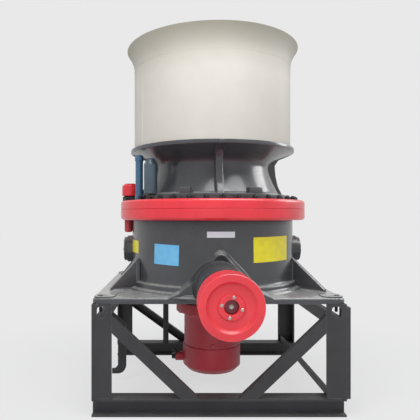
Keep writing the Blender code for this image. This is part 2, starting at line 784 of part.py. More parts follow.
def build_joint_rings(axis):
    """Bolted flanges of the two shells, with a rounded edge above and below."""
    steps = 3
    lower = [(RING_BORE, SHELL_TOP + GAP)]
    for step in range(steps + 1):
        angle = math.radians(90 * step / steps)
        lower.append((
            RING_RADIUS - RING_ROUND * (1 - math.sin(angle)),
            SHELL_TOP + GAP + RING_ROUND * (1 - math.cos(angle)),
        ))
    lower += [(RING_RADIUS, RING_JOINT - GAP), (RING_BORE, RING_JOINT - GAP)]
    paint(turned("joint_ring_lower", lower, axis), "red_paint")
    upper = [(RING_BORE, RING_JOINT + GAP), (RING_RADIUS, RING_JOINT + GAP)]
    for step in range(steps + 1):
        angle = math.radians(90 * step / steps)
        upper.append((
            RING_RADIUS - RING_ROUND * (1 - math.cos(angle)),
            RING_TOP - RING_ROUND * (1 - math.sin(angle)),
        ))
    upper.append((RING_BORE, RING_TOP))
    paint(turned("joint_ring_upper", upper, axis), "red_paint")


def skin_radius(height):
    """Outer radius of the topshell between its skirt and its top flange."""
    skirt_top = RING_TOP + SKIRT_FLANGE
    flange_base = TOP_FLANGE_Z - TOP_FLANGE
    if height <= WAIST_Z:
        share = (WAIST_Z - height) / (WAIST_Z - skirt_top)
        return WAIST_RADIUS + (SKIRT_RADIUS - WAIST_RADIUS) * share ** 1.4
    share = (height - WAIST_Z) / (flange_base - WAIST_Z)
    return WAIST_RADIUS + (TOP_FLANGE_RADIUS - TOP_FLANGE_ROOT - WAIST_RADIUS) * share ** 2.2


def topshell_profile():
    base = RING_TOP + GAP
    skirt_top = RING_TOP + SKIRT_FLANGE
    flange_base = TOP_FLANGE_Z - TOP_FLANGE
    points = [
        (BORE_BOTTOM_RADIUS, base),
        (SKIRT_FLANGE_RADIUS, base),
        (SKIRT_FLANGE_RADIUS, skirt_top - CHAMFER),
        (SKIRT_FLANGE_RADIUS - CHAMFER, skirt_top),
    ]
    for step in range(5):
        height = skirt_top + (WAIST_Z - skirt_top) * step / 4
        points.append((skin_radius(height), height))
    for step in range(1, 5):
        height = WAIST_Z + (flange_base - WAIST_Z) * step / 4
        points.append((skin_radius(height), height))
    points += [
        (TOP_FLANGE_RADIUS, flange_base + CHAMFER),
        (TOP_FLANGE_RADIUS, TOP_FLANGE_Z),
        (BORE_TOP_RADIUS, TOP_FLANGE_Z),
        (BORE_WAIST_RADIUS, BORE_WAIST_Z),
    ]
    return points


def rib_outline():
    """Fin on the topshell: it stands proud of the skin and fades into both flanges."""
    base = RING_TOP + SKIRT_FLANGE - BITE
    flange_base = TOP_FLANGE_Z - TOP_FLANGE + BITE
    steps = 6
    outer = []
    inner = []
    for step in range(steps + 1):
        height = base + (flange_base - base) * step / steps
        radius = skin_radius(max(height, RING_TOP + SKIRT_FLANGE))
        outer.append((min(radius + RIB_PROUD, TOP_FLANGE_RADIUS - CHAMFER), height))
        inner.append((radius - RIB_PROUD / 2, height))
    return outer + list(reversed(inner))


def build_topshell(axis):
    """Topshell casting: skirt, waist, top flange, fins and the spider with its two arms."""
    body = turned("topshell", topshell_profile(), axis)
    parts = []
    for index in range(RIB_COUNT):
        rib = prism("rib", rib_outline(), -RIB_THICKNESS / 2, RIB_THICKNESS / 2, axis)
        turn = -90 + 360 * index / RIB_COUNT
        rib.data.transform(Matrix.Rotation(math.radians(turn), 4, "Z"))
        parts.append(rib)
    hub = SPIDER_HUB_RADIUS
    wall_low = (BORE_WAIST_RADIUS + BORE_TOP_RADIUS) / 2
    wall_high = (BORE_TOP_RADIUS + TOP_FLANGE_RADIUS) / 2
    half_arm = [
        (wall_low, SPIDER_HUB_BASE + CHAMFER), (wall_high, TOP_FLANGE_Z - 2 * CHAMFER),
        ((hub + wall_high) / 2, SPIDER_HUB_TOP - SPIDER_ARM / 3),
        (hub - CHAMFER, SPIDER_HUB_TOP - SPIDER_ARM / 8),
    ]
    arm_outline = half_arm + [(-x, z) for x, z in reversed(half_arm)]
    parts.append(prism("arms", arm_outline, -SPIDER_ARM / 2, SPIDER_ARM / 2, axis))
    parts.append(cylinder("spider_hub", hub, SPIDER_HUB_BASE, SPIDER_HUB_TOP, axis, DRIVE_FACETS))
    nub = block(
        "nub",
        (-NUB_WIDTH / 2, -TOP_FLANGE_RADIUS - NUB_PROUD, TOP_FLANGE_Z - TOP_FLANGE + CHAMFER),
        (NUB_WIDTH / 2, -TOP_FLANGE_RADIUS + NUB_PROUD, TOP_FLANGE_Z - CHAMFER),
        axis,
    )
    parts.append(nub)
    skirt_top = RING_TOP + SKIRT_FLANGE
    for turn, width in LUGS:
        outer = SKIRT_FLANGE_RADIUS - CHAMFER
        low = (outer - LUG_DEPTH, -width / 2, skirt_top - BITE)
        lug = block("lug", low, (outer, width / 2, skirt_top + LUG_HEIGHT), axis)
        lug.data.transform(Matrix.Rotation(math.radians(turn), 4, "Z"))
        parts.append(lug)
    combine(body, parts, "UNION")
    bore = cylinder("bore", NECK_RADIUS + GAP, SPIDER_HUB_BASE - BEYOND, SPIDER_HUB_TOP + BEYOND, axis,
                    DRIVE_FACETS)
    combine(body, [bore], "DIFFERENCE")
    paint(body, "cast_grey")


def build_spider_cap(axis):
    """Domed cap over the spider bearing."""
    base = SPIDER_HUB_TOP + GAP
    dome = CAP_HEIGHT - CAP_RIM
    points = [(0.0, base), (CAP_RADIUS, base)]
    steps = 5
    for step in range(steps + 1):
        angle = math.radians(90 * step / steps)
        points.append((CAP_RADIUS * math.cos(angle), base + CAP_RIM + dome * math.sin(angle)))
    cap = turned("spider_cap", points[:-1] + [(0.0, base + CAP_HEIGHT)], axis, DRIVE_FACETS)
    paint(cap, "cast_grey")


def build_chamber(axis):
    """Concave ring in the topshell, mantle on the head, main shaft and its drive sleeve."""
    base = RING_TOP + GAP
    outer_bottom = BORE_BOTTOM_RADIUS - 2 * GAP
    outer_top = BORE_WAIST_RADIUS - 2 * GAP
    concave = turned("concave_ring", [
        (CONCAVE_OUTLET_RADIUS, CONCAVE_BASE),
        (outer_bottom, CONCAVE_BASE),
        (outer_bottom, base),
        (outer_top, BORE_WAIST_Z),
        (CONCAVE_INLET_RADIUS, BORE_WAIST_Z),
        (CONCAVE_WAIST_RADIUS, CONCAVE_WAIST_Z),
    ], axis)
    paint(concave, "manganese")

    shaft = turned("main_shaft", [
        (0.0, HUB_BASE + GAP), (MAIN_SHAFT_RADIUS - GAP, HUB_BASE + GAP),
        (MAIN_SHAFT_RADIUS - GAP, DUST_COLLAR_TOP + GAP),
        (HEAD_BASE_RADIUS - HEAD_TAPER, DUST_COLLAR_TOP + HEAD_TAPER),
        (HEAD_BASE_RADIUS, HEAD_BASE), (HEAD_TOP_RADIUS, HEAD_TOP),
        (NECK_RADIUS, HEAD_TOP), (NECK_RADIUS, NECK_TOP), (0.0, NECK_TOP),
    ], axis, DRIVE_FACETS)
    paint(shaft, "machined_steel")

    mantle = turned("mantle", [
        (HEAD_BASE_RADIUS + 2 * GAP, HEAD_BASE),
        (HEAD_BASE_RADIUS + MANTLE_THICKNESS, HEAD_BASE - MANTLE_EDGE),
        (HEAD_BASE_RADIUS + MANTLE_THICKNESS, HEAD_BASE + MANTLE_EDGE),
        (HEAD_TOP_RADIUS + MANTLE_THICKNESS, HEAD_TOP + MANTLE_EDGE),
        (HEAD_TOP_RADIUS + 2 * GAP, HEAD_TOP + MANTLE_EDGE),
        (HEAD_TOP_RADIUS + 2 * GAP, HEAD_TOP),
    ], axis, DRIVE_FACETS)
    paint(mantle, "manganese")

    nut_base = HEAD_TOP + GAP
    nut = ring_piece("head_nut", NECK_RADIUS + GAP, HEAD_TOP_RADIUS - CHAMFER, nut_base,
                     nut_base + HEAD_NUT_HEIGHT, axis, DRIVE_FACETS)
    paint(nut, "machined_steel")

    eccentric = ring_piece("eccentric", MAIN_SHAFT_RADIUS + GAP, HUB_BORE - GAP, HUB_BASE + GAP,
                           HUB_TOP - GAP, axis, DRIVE_FACETS)
    paint(eccentric, "machined_steel")
    collar = ring_piece("dust_collar", MAIN_SHAFT_RADIUS + 2 * GAP, DUST_COLLAR_RADIUS, HUB_TOP + GAP,
                        DUST_COLLAR_TOP, axis, DRIVE_FACETS)
    paint(collar, "cast_grey")


def build_hopper(axis):
    """Sheet steel hopper: a straight shell and a flared collar on top."""
    bore = HOPPER_RADIUS - HOPPER_WALL
    shell = ring_piece("hopper_shell", bore, HOPPER_RADIUS, TOP_FLANGE_Z + GAP, HOPPER_FLARE_Z - GAP, axis)
    paint(shell, "white_paint")
    steps = 6
    outer = []
    inner = []
    for step in range(steps + 1):
        share = step / steps
        radius = HOPPER_RADIUS + (HOPPER_LIP_RADIUS - HOPPER_RADIUS) * share ** HOPPER_BELL
        height = HOPPER_FLARE_Z + (HOPPER_TOP - HOPPER_FLARE_Z) * share
        outer.append((radius, height))
        inner.append((radius - HOPPER_WALL, height))
    flare = turned("hopper_flare", outer + list(reversed(inner)), axis)
    paint(flare, "white_paint")


def build_fittings(axis):
    """Clamp cylinder through the joint ring, lubricator and oil canister beside the topshell."""
    base = RING_TOP + GAP
    cap = turned("clamp_cap", [
        (0.0, base), (0.6 * CLAMP_RADIUS, base), (0.6 * CLAMP_RADIUS, base + CLAMP_NECK),
        (CLAMP_RADIUS, base + CLAMP_NECK), (CLAMP_RADIUS, CLAMP_TOP - CLAMP_DOME),
        (CLAMP_RADIUS - CLAMP_DOME, CLAMP_TOP), (0.0, CLAMP_TOP),
    ], axis, SMALL_FACETS, centre=(CLAMP_X, CLAMP_Y, 0.0))
    paint(cap, "red_paint")
    rod = cylinder("clamp_rod", CLAMP_ROD_RADIUS, CLAMP_ROD_BOTTOM, SHELL_TOP, axis,
                   centre=(-SHELL_RADIUS - CLAMP_ROD_RADIUS - 3 * GAP, CLAMP_Y, 0.0))
    paint(rod, "red_paint")
    lubricator_place = around(SKIRT_FLANGE_RADIUS + LUBRICATOR_RADIUS + GAP, LUBRICATOR_TURN)
    lubricator = turned("lubricator", [
        (0.0, base), (LUBRICATOR_RADIUS, base), (LUBRICATOR_RADIUS, LUBRICATOR_TOP - 2 * CHAMFER),
        (LUBRICATOR_RADIUS - 2 * CHAMFER, LUBRICATOR_TOP), (0.0, LUBRICATOR_TOP),
    ], axis, SMALL_FACETS, centre=lubricator_place)
    paint(lubricator, "blue_paint")
    canister_base = RING_TOP + SKIRT_FLANGE + GAP
    canister_place = around(SKIRT_RADIUS + CANISTER_RADIUS + CANISTER_STANDOFF, CANISTER_TURN)
    canister = turned("oil_canister", [
        (0.0, canister_base), (CANISTER_RADIUS, canister_base),
        (CANISTER_RADIUS, CANISTER_TOP - CANISTER_SHOULDER),
        (0.6 * CANISTER_RADIUS, CANISTER_TOP - CANISTER_NECK),
        (0.6 * CANISTER_RADIUS, CANISTER_TOP), (0.0, CANISTER_TOP),
    ], axis, SMALL_FACETS, centre=canister_place)
    paint(canister, "slate_paint")


def build_pinion_cover(axis):
    """Fixed bearing cover in front of the pinion tunnel."""
    base = TUNNEL_REACH + GAP
    cover = turned("pinion_cover", [
        (SHAFT_RADIUS + GAP, base), (COVER_RADIUS, base),
        (COVER_RADIUS, base + COVER_THICKNESS - CHAMFER),
        (COVER_RADIUS - CHAMFER, base + COVER_THICKNESS),
        (SHAFT_RADIUS + GAP, base + COVER_THICKNESS),
    ], axis, DRIVE_FACETS, "Y", (0.0, 0.0, PINION_Z))
    paint(cover, "cast_grey")


def pulley_profile():
    """Half section of the sheave: grooved rim, web and hub, from its rear to its front face."""
    rear = PULLEY_REACH - PULLEY_WIDTH
    front = PULLEY_REACH
    pitch = PULLEY_WIDTH / GROOVES
    rim_bore = PULLEY_RADIUS - PULLEY_RIM
    web_front = front - PULLEY_RECESS
    web_rear = web_front - PULLEY_WEB
    points = [(rim_bore, rear), (PULLEY_RADIUS, rear)]
    for index in range(GROOVES):
        start = rear + index * pitch + GROOVE_FLAT / 2
        end = start + pitch - GROOVE_FLAT
        floor = PULLEY_RADIUS - GROOVE_DEPTH
        slope = GROOVE_SLOPE * GROOVE_DEPTH
        points += [(PULLEY_RADIUS, start), (floor, start + slope), (floor, end - slope), (PULLEY_RADIUS, end)]
    points += [
        (PULLEY_RADIUS, front), (rim_bore, front), (rim_bore, web_front),
        (BUSH_RADIUS + GAP, web_front), (BUSH_RADIUS + GAP, web_rear), (rim_bore, web_rear),
    ]
    return points


def build_drive(axis):
    """Pinion shaft, sheave and its bush, which turn together about the pinion axis."""
    drive = bpy.data.objects.new("drive_axis", None)
    bpy.context.scene.collection.objects.link(drive)
    drive.parent = axis
    drive.location = (0.0, 0.0, PINION_Z)
    front = PULLEY_REACH
    web_rear = front - PULLEY_RECESS - PULLEY_WEB
    pulley = turned("drive_pulley", pulley_profile(), drive, DRIVE_FACETS, "Y")
    paint(pulley, "red_paint")
    bush_front = front - BUSH_SETBACK
    bush = turned("pulley_bush", [
        (SHAFT_RADIUS + GAP, web_rear), (BUSH_RADIUS, web_rear), (BUSH_RADIUS, bush_front - CHAMFER),
        (BUSH_RADIUS - CHAMFER, bush_front), (SHAFT_RADIUS + GAP, bush_front),
    ], drive, DRIVE_FACETS, "Y")
    paint(bush, "red_paint")
    shaft = cylinder("pinion_shaft", SHAFT_RADIUS, SHAFT_INNER_END, bush_front - SHAFT_SETBACK, drive,
                     DRIVE_FACETS, "Y")
    paint(shaft, "machined_steel")


def build():
    clear_scene()
    axis = bpy.data.objects.new("crusher_axis", None)
    bpy.context.scene.collection.objects.link(axis)
    axis.location = (AXIS_X, AXIS_Y, 0.0)
    build_posts(axis)
    build_beams(axis)
    build_rails(axis)
    build_braces(axis)
    build_strut(axis)
    build_hook(axis)
    build_side_plate(axis)
    build_bottomshell(axis)
    build_doors(axis)
    build_hydroset(axis)
    build_joint_rings(axis)
    build_topshell(axis)
    build_spider_cap(axis)
    build_chamber(axis)
    build_hopper(axis)
    build_fittings(axis)
    build_pinion_cover(axis)
    build_drive(axis)
    bpy.context.view_layer.update()


build()
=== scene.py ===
# %% [markdown]
# # A cone crusher, finished for its picture
#
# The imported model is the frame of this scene: every piece made here sits where that frame says.
# We load it, note its box, and find the two axes that nearly everything is turned about: the upright
# axis of the crusher and the level axis of its drive. Pieces that meet keep a hairline gap.

# %% Load the frame and find the axes
import math

import bmesh
import bpy
from mathutils import Matrix, Vector


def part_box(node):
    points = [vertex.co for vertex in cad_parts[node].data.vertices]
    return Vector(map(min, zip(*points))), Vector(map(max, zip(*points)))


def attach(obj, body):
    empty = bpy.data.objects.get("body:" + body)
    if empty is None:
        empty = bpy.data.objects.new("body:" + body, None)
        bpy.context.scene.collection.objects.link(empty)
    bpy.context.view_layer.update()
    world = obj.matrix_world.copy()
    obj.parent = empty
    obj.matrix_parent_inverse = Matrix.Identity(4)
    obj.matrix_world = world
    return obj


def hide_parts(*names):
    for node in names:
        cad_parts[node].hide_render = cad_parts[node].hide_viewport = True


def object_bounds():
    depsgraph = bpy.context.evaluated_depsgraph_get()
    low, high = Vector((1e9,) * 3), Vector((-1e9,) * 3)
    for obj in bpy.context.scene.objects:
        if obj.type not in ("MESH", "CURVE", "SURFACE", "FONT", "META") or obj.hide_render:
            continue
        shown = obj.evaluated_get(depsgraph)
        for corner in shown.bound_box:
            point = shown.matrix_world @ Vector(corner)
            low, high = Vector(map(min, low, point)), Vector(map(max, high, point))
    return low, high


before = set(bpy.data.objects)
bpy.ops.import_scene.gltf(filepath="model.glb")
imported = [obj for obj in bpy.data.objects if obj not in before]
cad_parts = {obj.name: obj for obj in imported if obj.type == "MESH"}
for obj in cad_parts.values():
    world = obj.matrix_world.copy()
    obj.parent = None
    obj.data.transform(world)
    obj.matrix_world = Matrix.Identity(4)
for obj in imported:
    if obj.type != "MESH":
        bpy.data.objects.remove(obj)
cad_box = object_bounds()
MM = 0.001
HAIRLINE = 0.0003


def middle(node):
    """Centre of a node's box."""
    low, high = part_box(node)
    return (Vector(low) + Vector(high)) / 2


def footprint(node):
    """Point on the floor under a node's centre."""
    return Vector((middle(node).x, middle(node).y, 0.0))


def span(node):
    """Radius across X, bottom and top of a node that is round about an upright axis."""
    low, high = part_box(node)
    return (high[0] - low[0]) / 2, low[2], high[2]


AXIS = footprint("hopper_shell")
DRIVE = AXIS + Vector((0.0, 0.0, middle("drive_pulley").z))


def drive_span(node):
    """Radius, rear and front of a node on the drive's axis, measured forward from the crusher's axis."""
    low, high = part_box(node)
    return (high[0] - low[0]) / 2, AXIS.y - high[1], AXIS.y - low[1]


print("crusher axis at", tuple(round(v, 4) for v in AXIS), "drive axis height", round(DRIVE.z, 4))

# %% [markdown]
# The photographer stood nearly four metres away, a little to the left, with the lens level and at
# about chest height. A level camera keeps uprights upright. The picture is cropped off centre, which
# a lens shift reproduces without turning the camera.

# %% Place the camera
PICTURE = 420
FOCAL_PIXELS = 460
LEVEL_POINT = (176, 216)
EYE = Vector((-0.304, -3.94, 1.417))

camera_data = bpy.data.cameras.new("camera")
camera_data.sensor_width = 36.0
camera_data.lens = FOCAL_PIXELS / PICTURE * camera_data.sensor_width
camera_data.shift_x = (PICTURE / 2 - LEVEL_POINT[0]) / PICTURE
camera_data.shift_y = (LEVEL_POINT[1] - PICTURE / 2) / PICTURE
camera = bpy.data.objects.new("camera", camera_data)
bpy.context.scene.collection.objects.link(camera)
camera.location = AXIS + EYE
camera.rotation_euler = (math.radians(90), 0.0, 0.0)
bpy.context.scene.camera = camera
print("lens", round(camera_data.lens, 2), "mm")

# %% [markdown]
# Colours are written the way a paint chart or a colour picker gives them, as sRGB hex. Blender
# mixes light in linear values, so one function turns one into the other. A few more small functions
# add a shader node, set it and link it, which keeps each recipe below short.

# %% Helpers for materials
def linear(hex_colour):
    """sRGB hex to linear RGBA."""
    channels = [int(hex_colour[i:i + 2], 16) / 255 for i in (1, 3, 5)]
    return tuple(c / 12.92 if c <= 0.04045 else ((c + 0.055) / 1.055) ** 2.4 for c in channels) + (1.0,)


def wire(tree, node, sockets):
    """Fill a node's sockets with values or with other nodes' outputs."""
    for name, value in sockets.items():
        if isinstance(value, bpy.types.NodeSocket):
            tree.links.new(value, node.inputs[name])
        else:
            node.inputs[name].default_value = value


def add(tree, kind, sockets=None, **settings):
    """Add a node: settings are its properties."""
    made = tree.nodes.new(kind)
    for name, value in settings.items():
        setattr(made, name, value)
    wire(tree, made, sockets or {})
    return made


def noise(tree, place, patch_mm, detail, roughness=0.5):
    """Cloudy pattern whose patches are about patch_mm across."""
    return add(tree, "ShaderNodeTexNoise", {
        "Vector": place, "Scale": 1.0 / (patch_mm * MM), "Detail": detail, "Roughness": roughness,
    }).outputs["Fac"]


def ranged(tree, value, from_min, from_max, to_min=0.0, to_max=1.0):
    """Carry one range of values over to another, and stop at its ends."""
    return add(tree, "ShaderNodeMapRange", {
        "Value": value, "From Min": from_min, "From Max": from_max, "To Min": to_min, "To Max": to_max,
    }).outputs["Result"]


def mixed(tree, factor, first, second):
    """Mix of two colours: the first at factor 0, the second at 1."""
    return add(tree, "ShaderNodeMix", {"Factor": factor, "A": first, "B": second},
               data_type="RGBA").outputs["Result"]


def reckon(tree, operation, *values):
    """Result of a Math node."""
    return add(tree, "ShaderNodeMath", dict(enumerate(values)), operation=operation).outputs["Value"]


def start_material(name):
    """A new material with its tree, its shader and its coordinates in metres."""
    material = bpy.data.materials.new(name)
    material.use_nodes = True
    tree = material.node_tree
    return material, tree, tree.nodes["Principled BSDF"], add(tree, "ShaderNodeTexCoord").outputs["Object"]


print("white is", linear("#ffffff"))

# %% [markdown]
# Paint on steel has three things the eye reads: a body colour that drifts a little from place to
# place, a skin that is never quite flat (orange peel on sprayed sheet, sand grain under paint on a
# casting), and dust that settles on whatever faces up; on the castings that pale top is mostly a
# painted sheen. Sharp edges get a painted highlight. One recipe takes all three as sizes in
# millimetres, and each paint below gives its own.

# %% The recipe for paint on steel
DUST_PATCH_MM = 45
HIGHLIGHT_EDGE_MM = 6


def paint(name, colour, shade, roughness, grain_mm, grain_depth_mm, drift_mm=260, dust="#8d8a84",
          dust_and_sheen_amount=0.25, coat=0.0, edge_highlight="#77787a"):
    """Enamel or primer: grain_mm is the size of its skin's grain, drift_mm of its tone's drift.

    Where the surface turns sharply, its colour is lightened in patches: a painted edge highlight.
    """
    material, tree, shader, place = start_material(name)
    drift = ranged(tree, noise(tree, place, drift_mm, 5.0, 0.6), 0.35, 0.68)
    body = mixed(tree, drift, linear(shade), linear(colour))
    normal = add(tree, "ShaderNodeNewGeometry").outputs["Normal"]
    facing = add(tree, "ShaderNodeSeparateXYZ", {"Vector": normal})
    patches = noise(tree, place, DUST_PATCH_MM, 6.0, 0.7)
    # Upward faces are lightened towards the dust colour: dust, and where the amount is large, a painted
    # sheen.
    upward = ranged(tree, facing.outputs["Z"], 0.55, 1.0, 0.0, dust_and_sheen_amount)
    dusted_and_sheened = mixed(tree, reckon(tree, "MULTIPLY", upward, patches), body, linear(dust))
    # Painted highlight: where the surface turns sharply, its colour is lightened in patches.
    rounded = add(tree, "ShaderNodeBevel", {"Radius": HIGHLIGHT_EDGE_MM * MM}, samples=4).outputs["Normal"]
    bend = add(tree, "ShaderNodeVectorMath", {0: normal, 1: rounded}, operation="DOT_PRODUCT")
    edge = ranged(tree, bend.outputs["Value"], 0.97, 0.80)
    edge_lit = mixed(tree, reckon(tree, "MULTIPLY", edge, patches), dusted_and_sheened, linear(edge_highlight))
    wave = noise(tree, place, 14 * grain_mm, 2.0)
    relief = reckon(tree, "MULTIPLY_ADD", wave, 4.0, noise(tree, place, grain_mm, 3.0, 0.55))
    bump = add(tree, "ShaderNodeBump", {"Height": relief, "Distance": grain_depth_mm * MM, "Strength": 0.6})
    wire(tree, shader, {
        "Base Color": edge_lit, "Normal": bump.outputs["Normal"],
        "Roughness": ranged(tree, patches, 0.3, 0.7, roughness - 0.05, roughness + 0.07),
        "IOR": 1.5, "Coat Weight": coat, "Coat Roughness": 0.12,
    })
    return material


# On the castings the heavy pale dust colour on upward faces is mostly a painted sheen for grazing
# reflection.
CAST_ENAMEL = paint("grey_enamel_on_cast_steel", "#3e3f43", "#333437", 0.32, 5, 0.35, coat=0.4,
                    dust="#b6b6b3", dust_and_sheen_amount=1.0)
# Painted shade: a darker grey for the pinion tunnel and its cover, in the shade above the pulley.
SHADED_GREY_ENAMEL = paint("grey_enamel_darkened_for_shade", "#303134", "#27282b", 0.46, 5, 0.35, dust_and_sheen_amount=0.1)
RED_ENAMEL = paint("red_enamel_on_machined_steel", "#dd2f3b", "#cd2631", 0.34, 3, 0.10, dust_and_sheen_amount=0.12,
                   coat=0.3, edge_highlight="#e0606a")
# Painted shade: the rings' red, drawn darker for the parts under the ring that stand in shade.
SHADED_RED_ENAMEL = paint("red_enamel_darkened_for_shade", "#bb3a46", "#a6323c", 0.42, 4, 0.15, dust_and_sheen_amount=0.2,
                        edge_highlight="#b0525a")
WHITE_ENAMEL = paint("off_white_enamel_on_rolled_sheet", "#c9c4bc", "#c1bcb3", 0.62, 3, 0.08, drift_mm=500,
                     dust="#b8b1a4", dust_and_sheen_amount=0.3, edge_highlight="#dedbd2")
FRAME_PAINT = paint("dark_primer_on_structural_steel", "#353537", "#2c2c2e", 0.55, 2, 0.10, drift_mm=180,
                    edge_highlight="#5c5c5e")
BLUE_ENAMEL = paint("blue_enamel", "#37607f", "#2e526d", 0.30, 3, 0.06, coat=0.4, edge_highlight="#5f86a2")
SLATE_ENAMEL = paint("slate_enamel", "#3f515b", "#36454f", 0.34, 3, 0.08, coat=0.3)

# Painted shade: towards the lip the bell's paint turns darker and greener, for the flare that faces down.
tree = WHITE_ENAMEL.node_tree
shader = tree.nodes["Principled BSDF"]
clean_tone = shader.inputs["Base Color"].links[0].from_socket
above = add(tree, "ShaderNodeSeparateXYZ", {"Vector": add(tree, "ShaderNodeTexCoord").outputs["Object"]})
painted_lip_shade = ranged(tree, above.outputs["Z"], 2.50, 2.79, 0.0, 0.62)
wire(tree, shader, {"Base Color": mixed(tree, painted_lip_shade, clean_tone, linear("#8f8c78"))})
print("paints:", [m.name for m in bpy.data.materials if "enamel" in m.name or "primer" in m.name])

# %% [markdown]
# Bare metal has no body colour under a clear skin: its colour is its reflection. Manganese steel
# liners come out of sand moulds dull and slightly brown. Fasteners are either zinc plated, pale, or
# blackened, nearly black. The rings that a lathe leaves on a shaft are far too fine to see from four
# metres, so a small grain stands for them.

# %% Bare metals and vinyl
def bare_metal(name, colour, shade, roughness, grain_mm, depth_mm, metallic=1.0):
    """Metal whose tone and relief both follow its grain."""
    material, tree, shader, place = start_material(name)
    grain = noise(tree, place, grain_mm, 5.0, 0.65)
    bump = add(tree, "ShaderNodeBump", {"Height": grain, "Distance": depth_mm * MM})
    wire(tree, shader, {
        "Base Color": mixed(tree, grain, linear(shade), linear(colour)),
        "Normal": bump.outputs["Normal"], "Metallic": metallic, "Roughness": roughness,
    })
    return material


MANGANESE = bare_metal("sand_cast_manganese_steel", "#8a827a", "#5d5650", 0.55, 9, 0.8)
TURNED_STEEL = bare_metal("turned_steel", "#b9b9bb", "#9a9a9d", 0.28, 3, 0.05)
ZINC = bare_metal("zinc_plated_steel", "#c9c7c2", "#a9a69f", 0.32, 4, 0.05)
# Painted shade: the shaft's end sits in a recess, so its steel is drawn dark red.
RECESS_SHADED_STEEL = bare_metal("dark_red_steel_for_recess_shade", "#8a4a50", "#5a2c32", 0.4, 4, 0.05, metallic=0.5)
BLACK_BOLT = bare_metal("blackened_steel", "#3a3a3c", "#2a2a2c", 0.42, 3, 0.05, metallic=0.7)


def film(name, colour, soiled_colour, roughness=0.35):
    """Printed vinyl or an engraved plate, with its ground colour only."""
    material, tree, shader, place = start_material(name)
    soil = ranged(tree, noise(tree, place, 60, 4.0, 0.6), 0.4, 0.8, 0.0, 0.6)
    tone = mixed(tree, soil, linear(colour), linear(soiled_colour))
    wire(tree, shader, {"Base Color": tone, "Roughness": roughness})
    return material


BLUE_VINYL = film("blue_vinyl", "#62addb", "#85c3e0")
YELLOW_VINYL = film("yellow_vinyl", "#e0d422", "#d0b040")
PALE_PLATE = film("anodised_plate", "#cfcfd4", "#c2c2ca", 0.3)
print("materials so far:", len(bpy.data.materials))

# %% [markdown]
# Most of a crusher is turned, so the main shape helper spins an outline about an axis. Real edges are
# never razor sharp: they are chamfered, cast with a radius or worn, and that radius catches a line of
# light. The outline's corners are therefore rounded first, by a real radius in millimetres.

# %% Shape helpers
def on_circle(radius, degrees, height=0.0):
    """Point on a circle about the upright line through the origin."""
    angle = math.radians(degrees)
    return Vector((radius * math.cos(angle), radius * math.sin(angle), height))


def quarter(count):
    """Sine and cosine at count equal steps round a quarter circle."""
    angles = [math.radians(90 * step / count) for step in range(count + 1)]
    return [(math.sin(angle), math.cos(angle)) for angle in angles]


def evenly(low, high, count):
    """Values from low to high in count equal steps."""
    return [low + (high - low) * step / count for step in range(count + 1)]


def from_table(table, place):
    """Value at a place in a table of (place, value) pairs, joined by straight lines."""
    for (place_0, value_0), (place_1, value_1) in zip(table, table[1:]):
        if place <= place_1:
            return value_0 + (value_1 - value_0) * max(place - place_0, 0.0) / (place_1 - place_0)
    return table[-1][1]


def rectangle(a_low, a_high, b_low, b_high):
    """Outline of a rectangle: a is the radius or the width, b the height or the depth."""
    return [(a_low, b_low), (a_high, b_low), (a_high, b_high), (a_low, b_high)]


def softened(points, radius):
    """Round the corners of a closed outline: points on the turning axis stay."""
    result = []
    for index, point in enumerate(points):
        corner = Vector(point)
        before = Vector(points[index - 1]) - corner
        after = Vector(points[(index + 1) % len(points)]) - corner
        reach = min(radius, 0.45 * before.length, 0.45 * after.length)
        if corner[0] < 1e-6 or reach < 1e-5:
            result.append(tuple(corner))
            continue
        start = corner + before.normalized() * reach
        end = corner + after.normalized() * reach
        for t in evenly(0, 1, 3):
            result.append(tuple(start * (1 - t) ** 2 + corner * (2 * t * (1 - t)) + end * t ** 2))
    return result


def as_piece(name, builder, smooth_angle=35):
    """Close a bmesh into an object with smooth round sides and crisp edges."""
    bmesh.ops.recalc_face_normals(builder, faces=builder.faces)
    mesh = bpy.data.meshes.new(name)
    builder.to_mesh(mesh)
    builder.free()
    mesh.shade_smooth()
    mesh.set_sharp_from_angle(angle=math.radians(smooth_angle))
    piece = bpy.data.objects.new(name, mesh)
    bpy.context.scene.collection.objects.link(piece)
    return piece


def join_rows(builder, rows, around=True, back=False):
    """Faces between rows of vertices: around closes each row, back joins the last row to the first."""
    for row, following in zip(rows, rows[1:] + rows[:1] if back else rows[1:]):
        for index in range(len(row) if around else len(row) - 1):
            other = (index + 1) % len(row)
            corners = list(dict.fromkeys((row[index], row[other], following[other], following[index])))
            if len(corners) > 2:
                builder.faces.new(corners)


TURN = {
    "Z": Matrix.Identity(4),
    "X": Matrix.Rotation(math.radians(90), 4, "Y"),
    "-Y": Matrix.Rotation(math.radians(90), 4, "X"),
}


def spin_into(builder, profile, facets, place):
    """Add a turned solid to a bmesh: place is the matrix from the lathe to the world."""
    rings = []
    for radius, height in profile:
        if radius < 1e-6:
            rings.append([builder.verts.new(place @ Vector((0, 0, height)))] * facets)
        else:
            rings.append([builder.verts.new(place @ on_circle(radius, 360 * step / facets, height))
                          for step in range(facets)])
    join_rows(builder, rings, back=True)


def turned(name, profile, facets, centre=AXIS, along="Z", edge_mm=3):
    """Spin a profile of (radius, height) points, with its corners rounded, about an axis."""
    builder = bmesh.new()
    spin_into(builder, softened(profile, edge_mm * MM), facets, Matrix.Translation(centre) @ TURN[along])
    return as_piece(name, builder)


def about_axis(degrees):
    """Matrix of a turn about the crusher's axis."""
    return Matrix.Translation(AXIS) @ Matrix.Rotation(math.radians(degrees), 4, "Z")


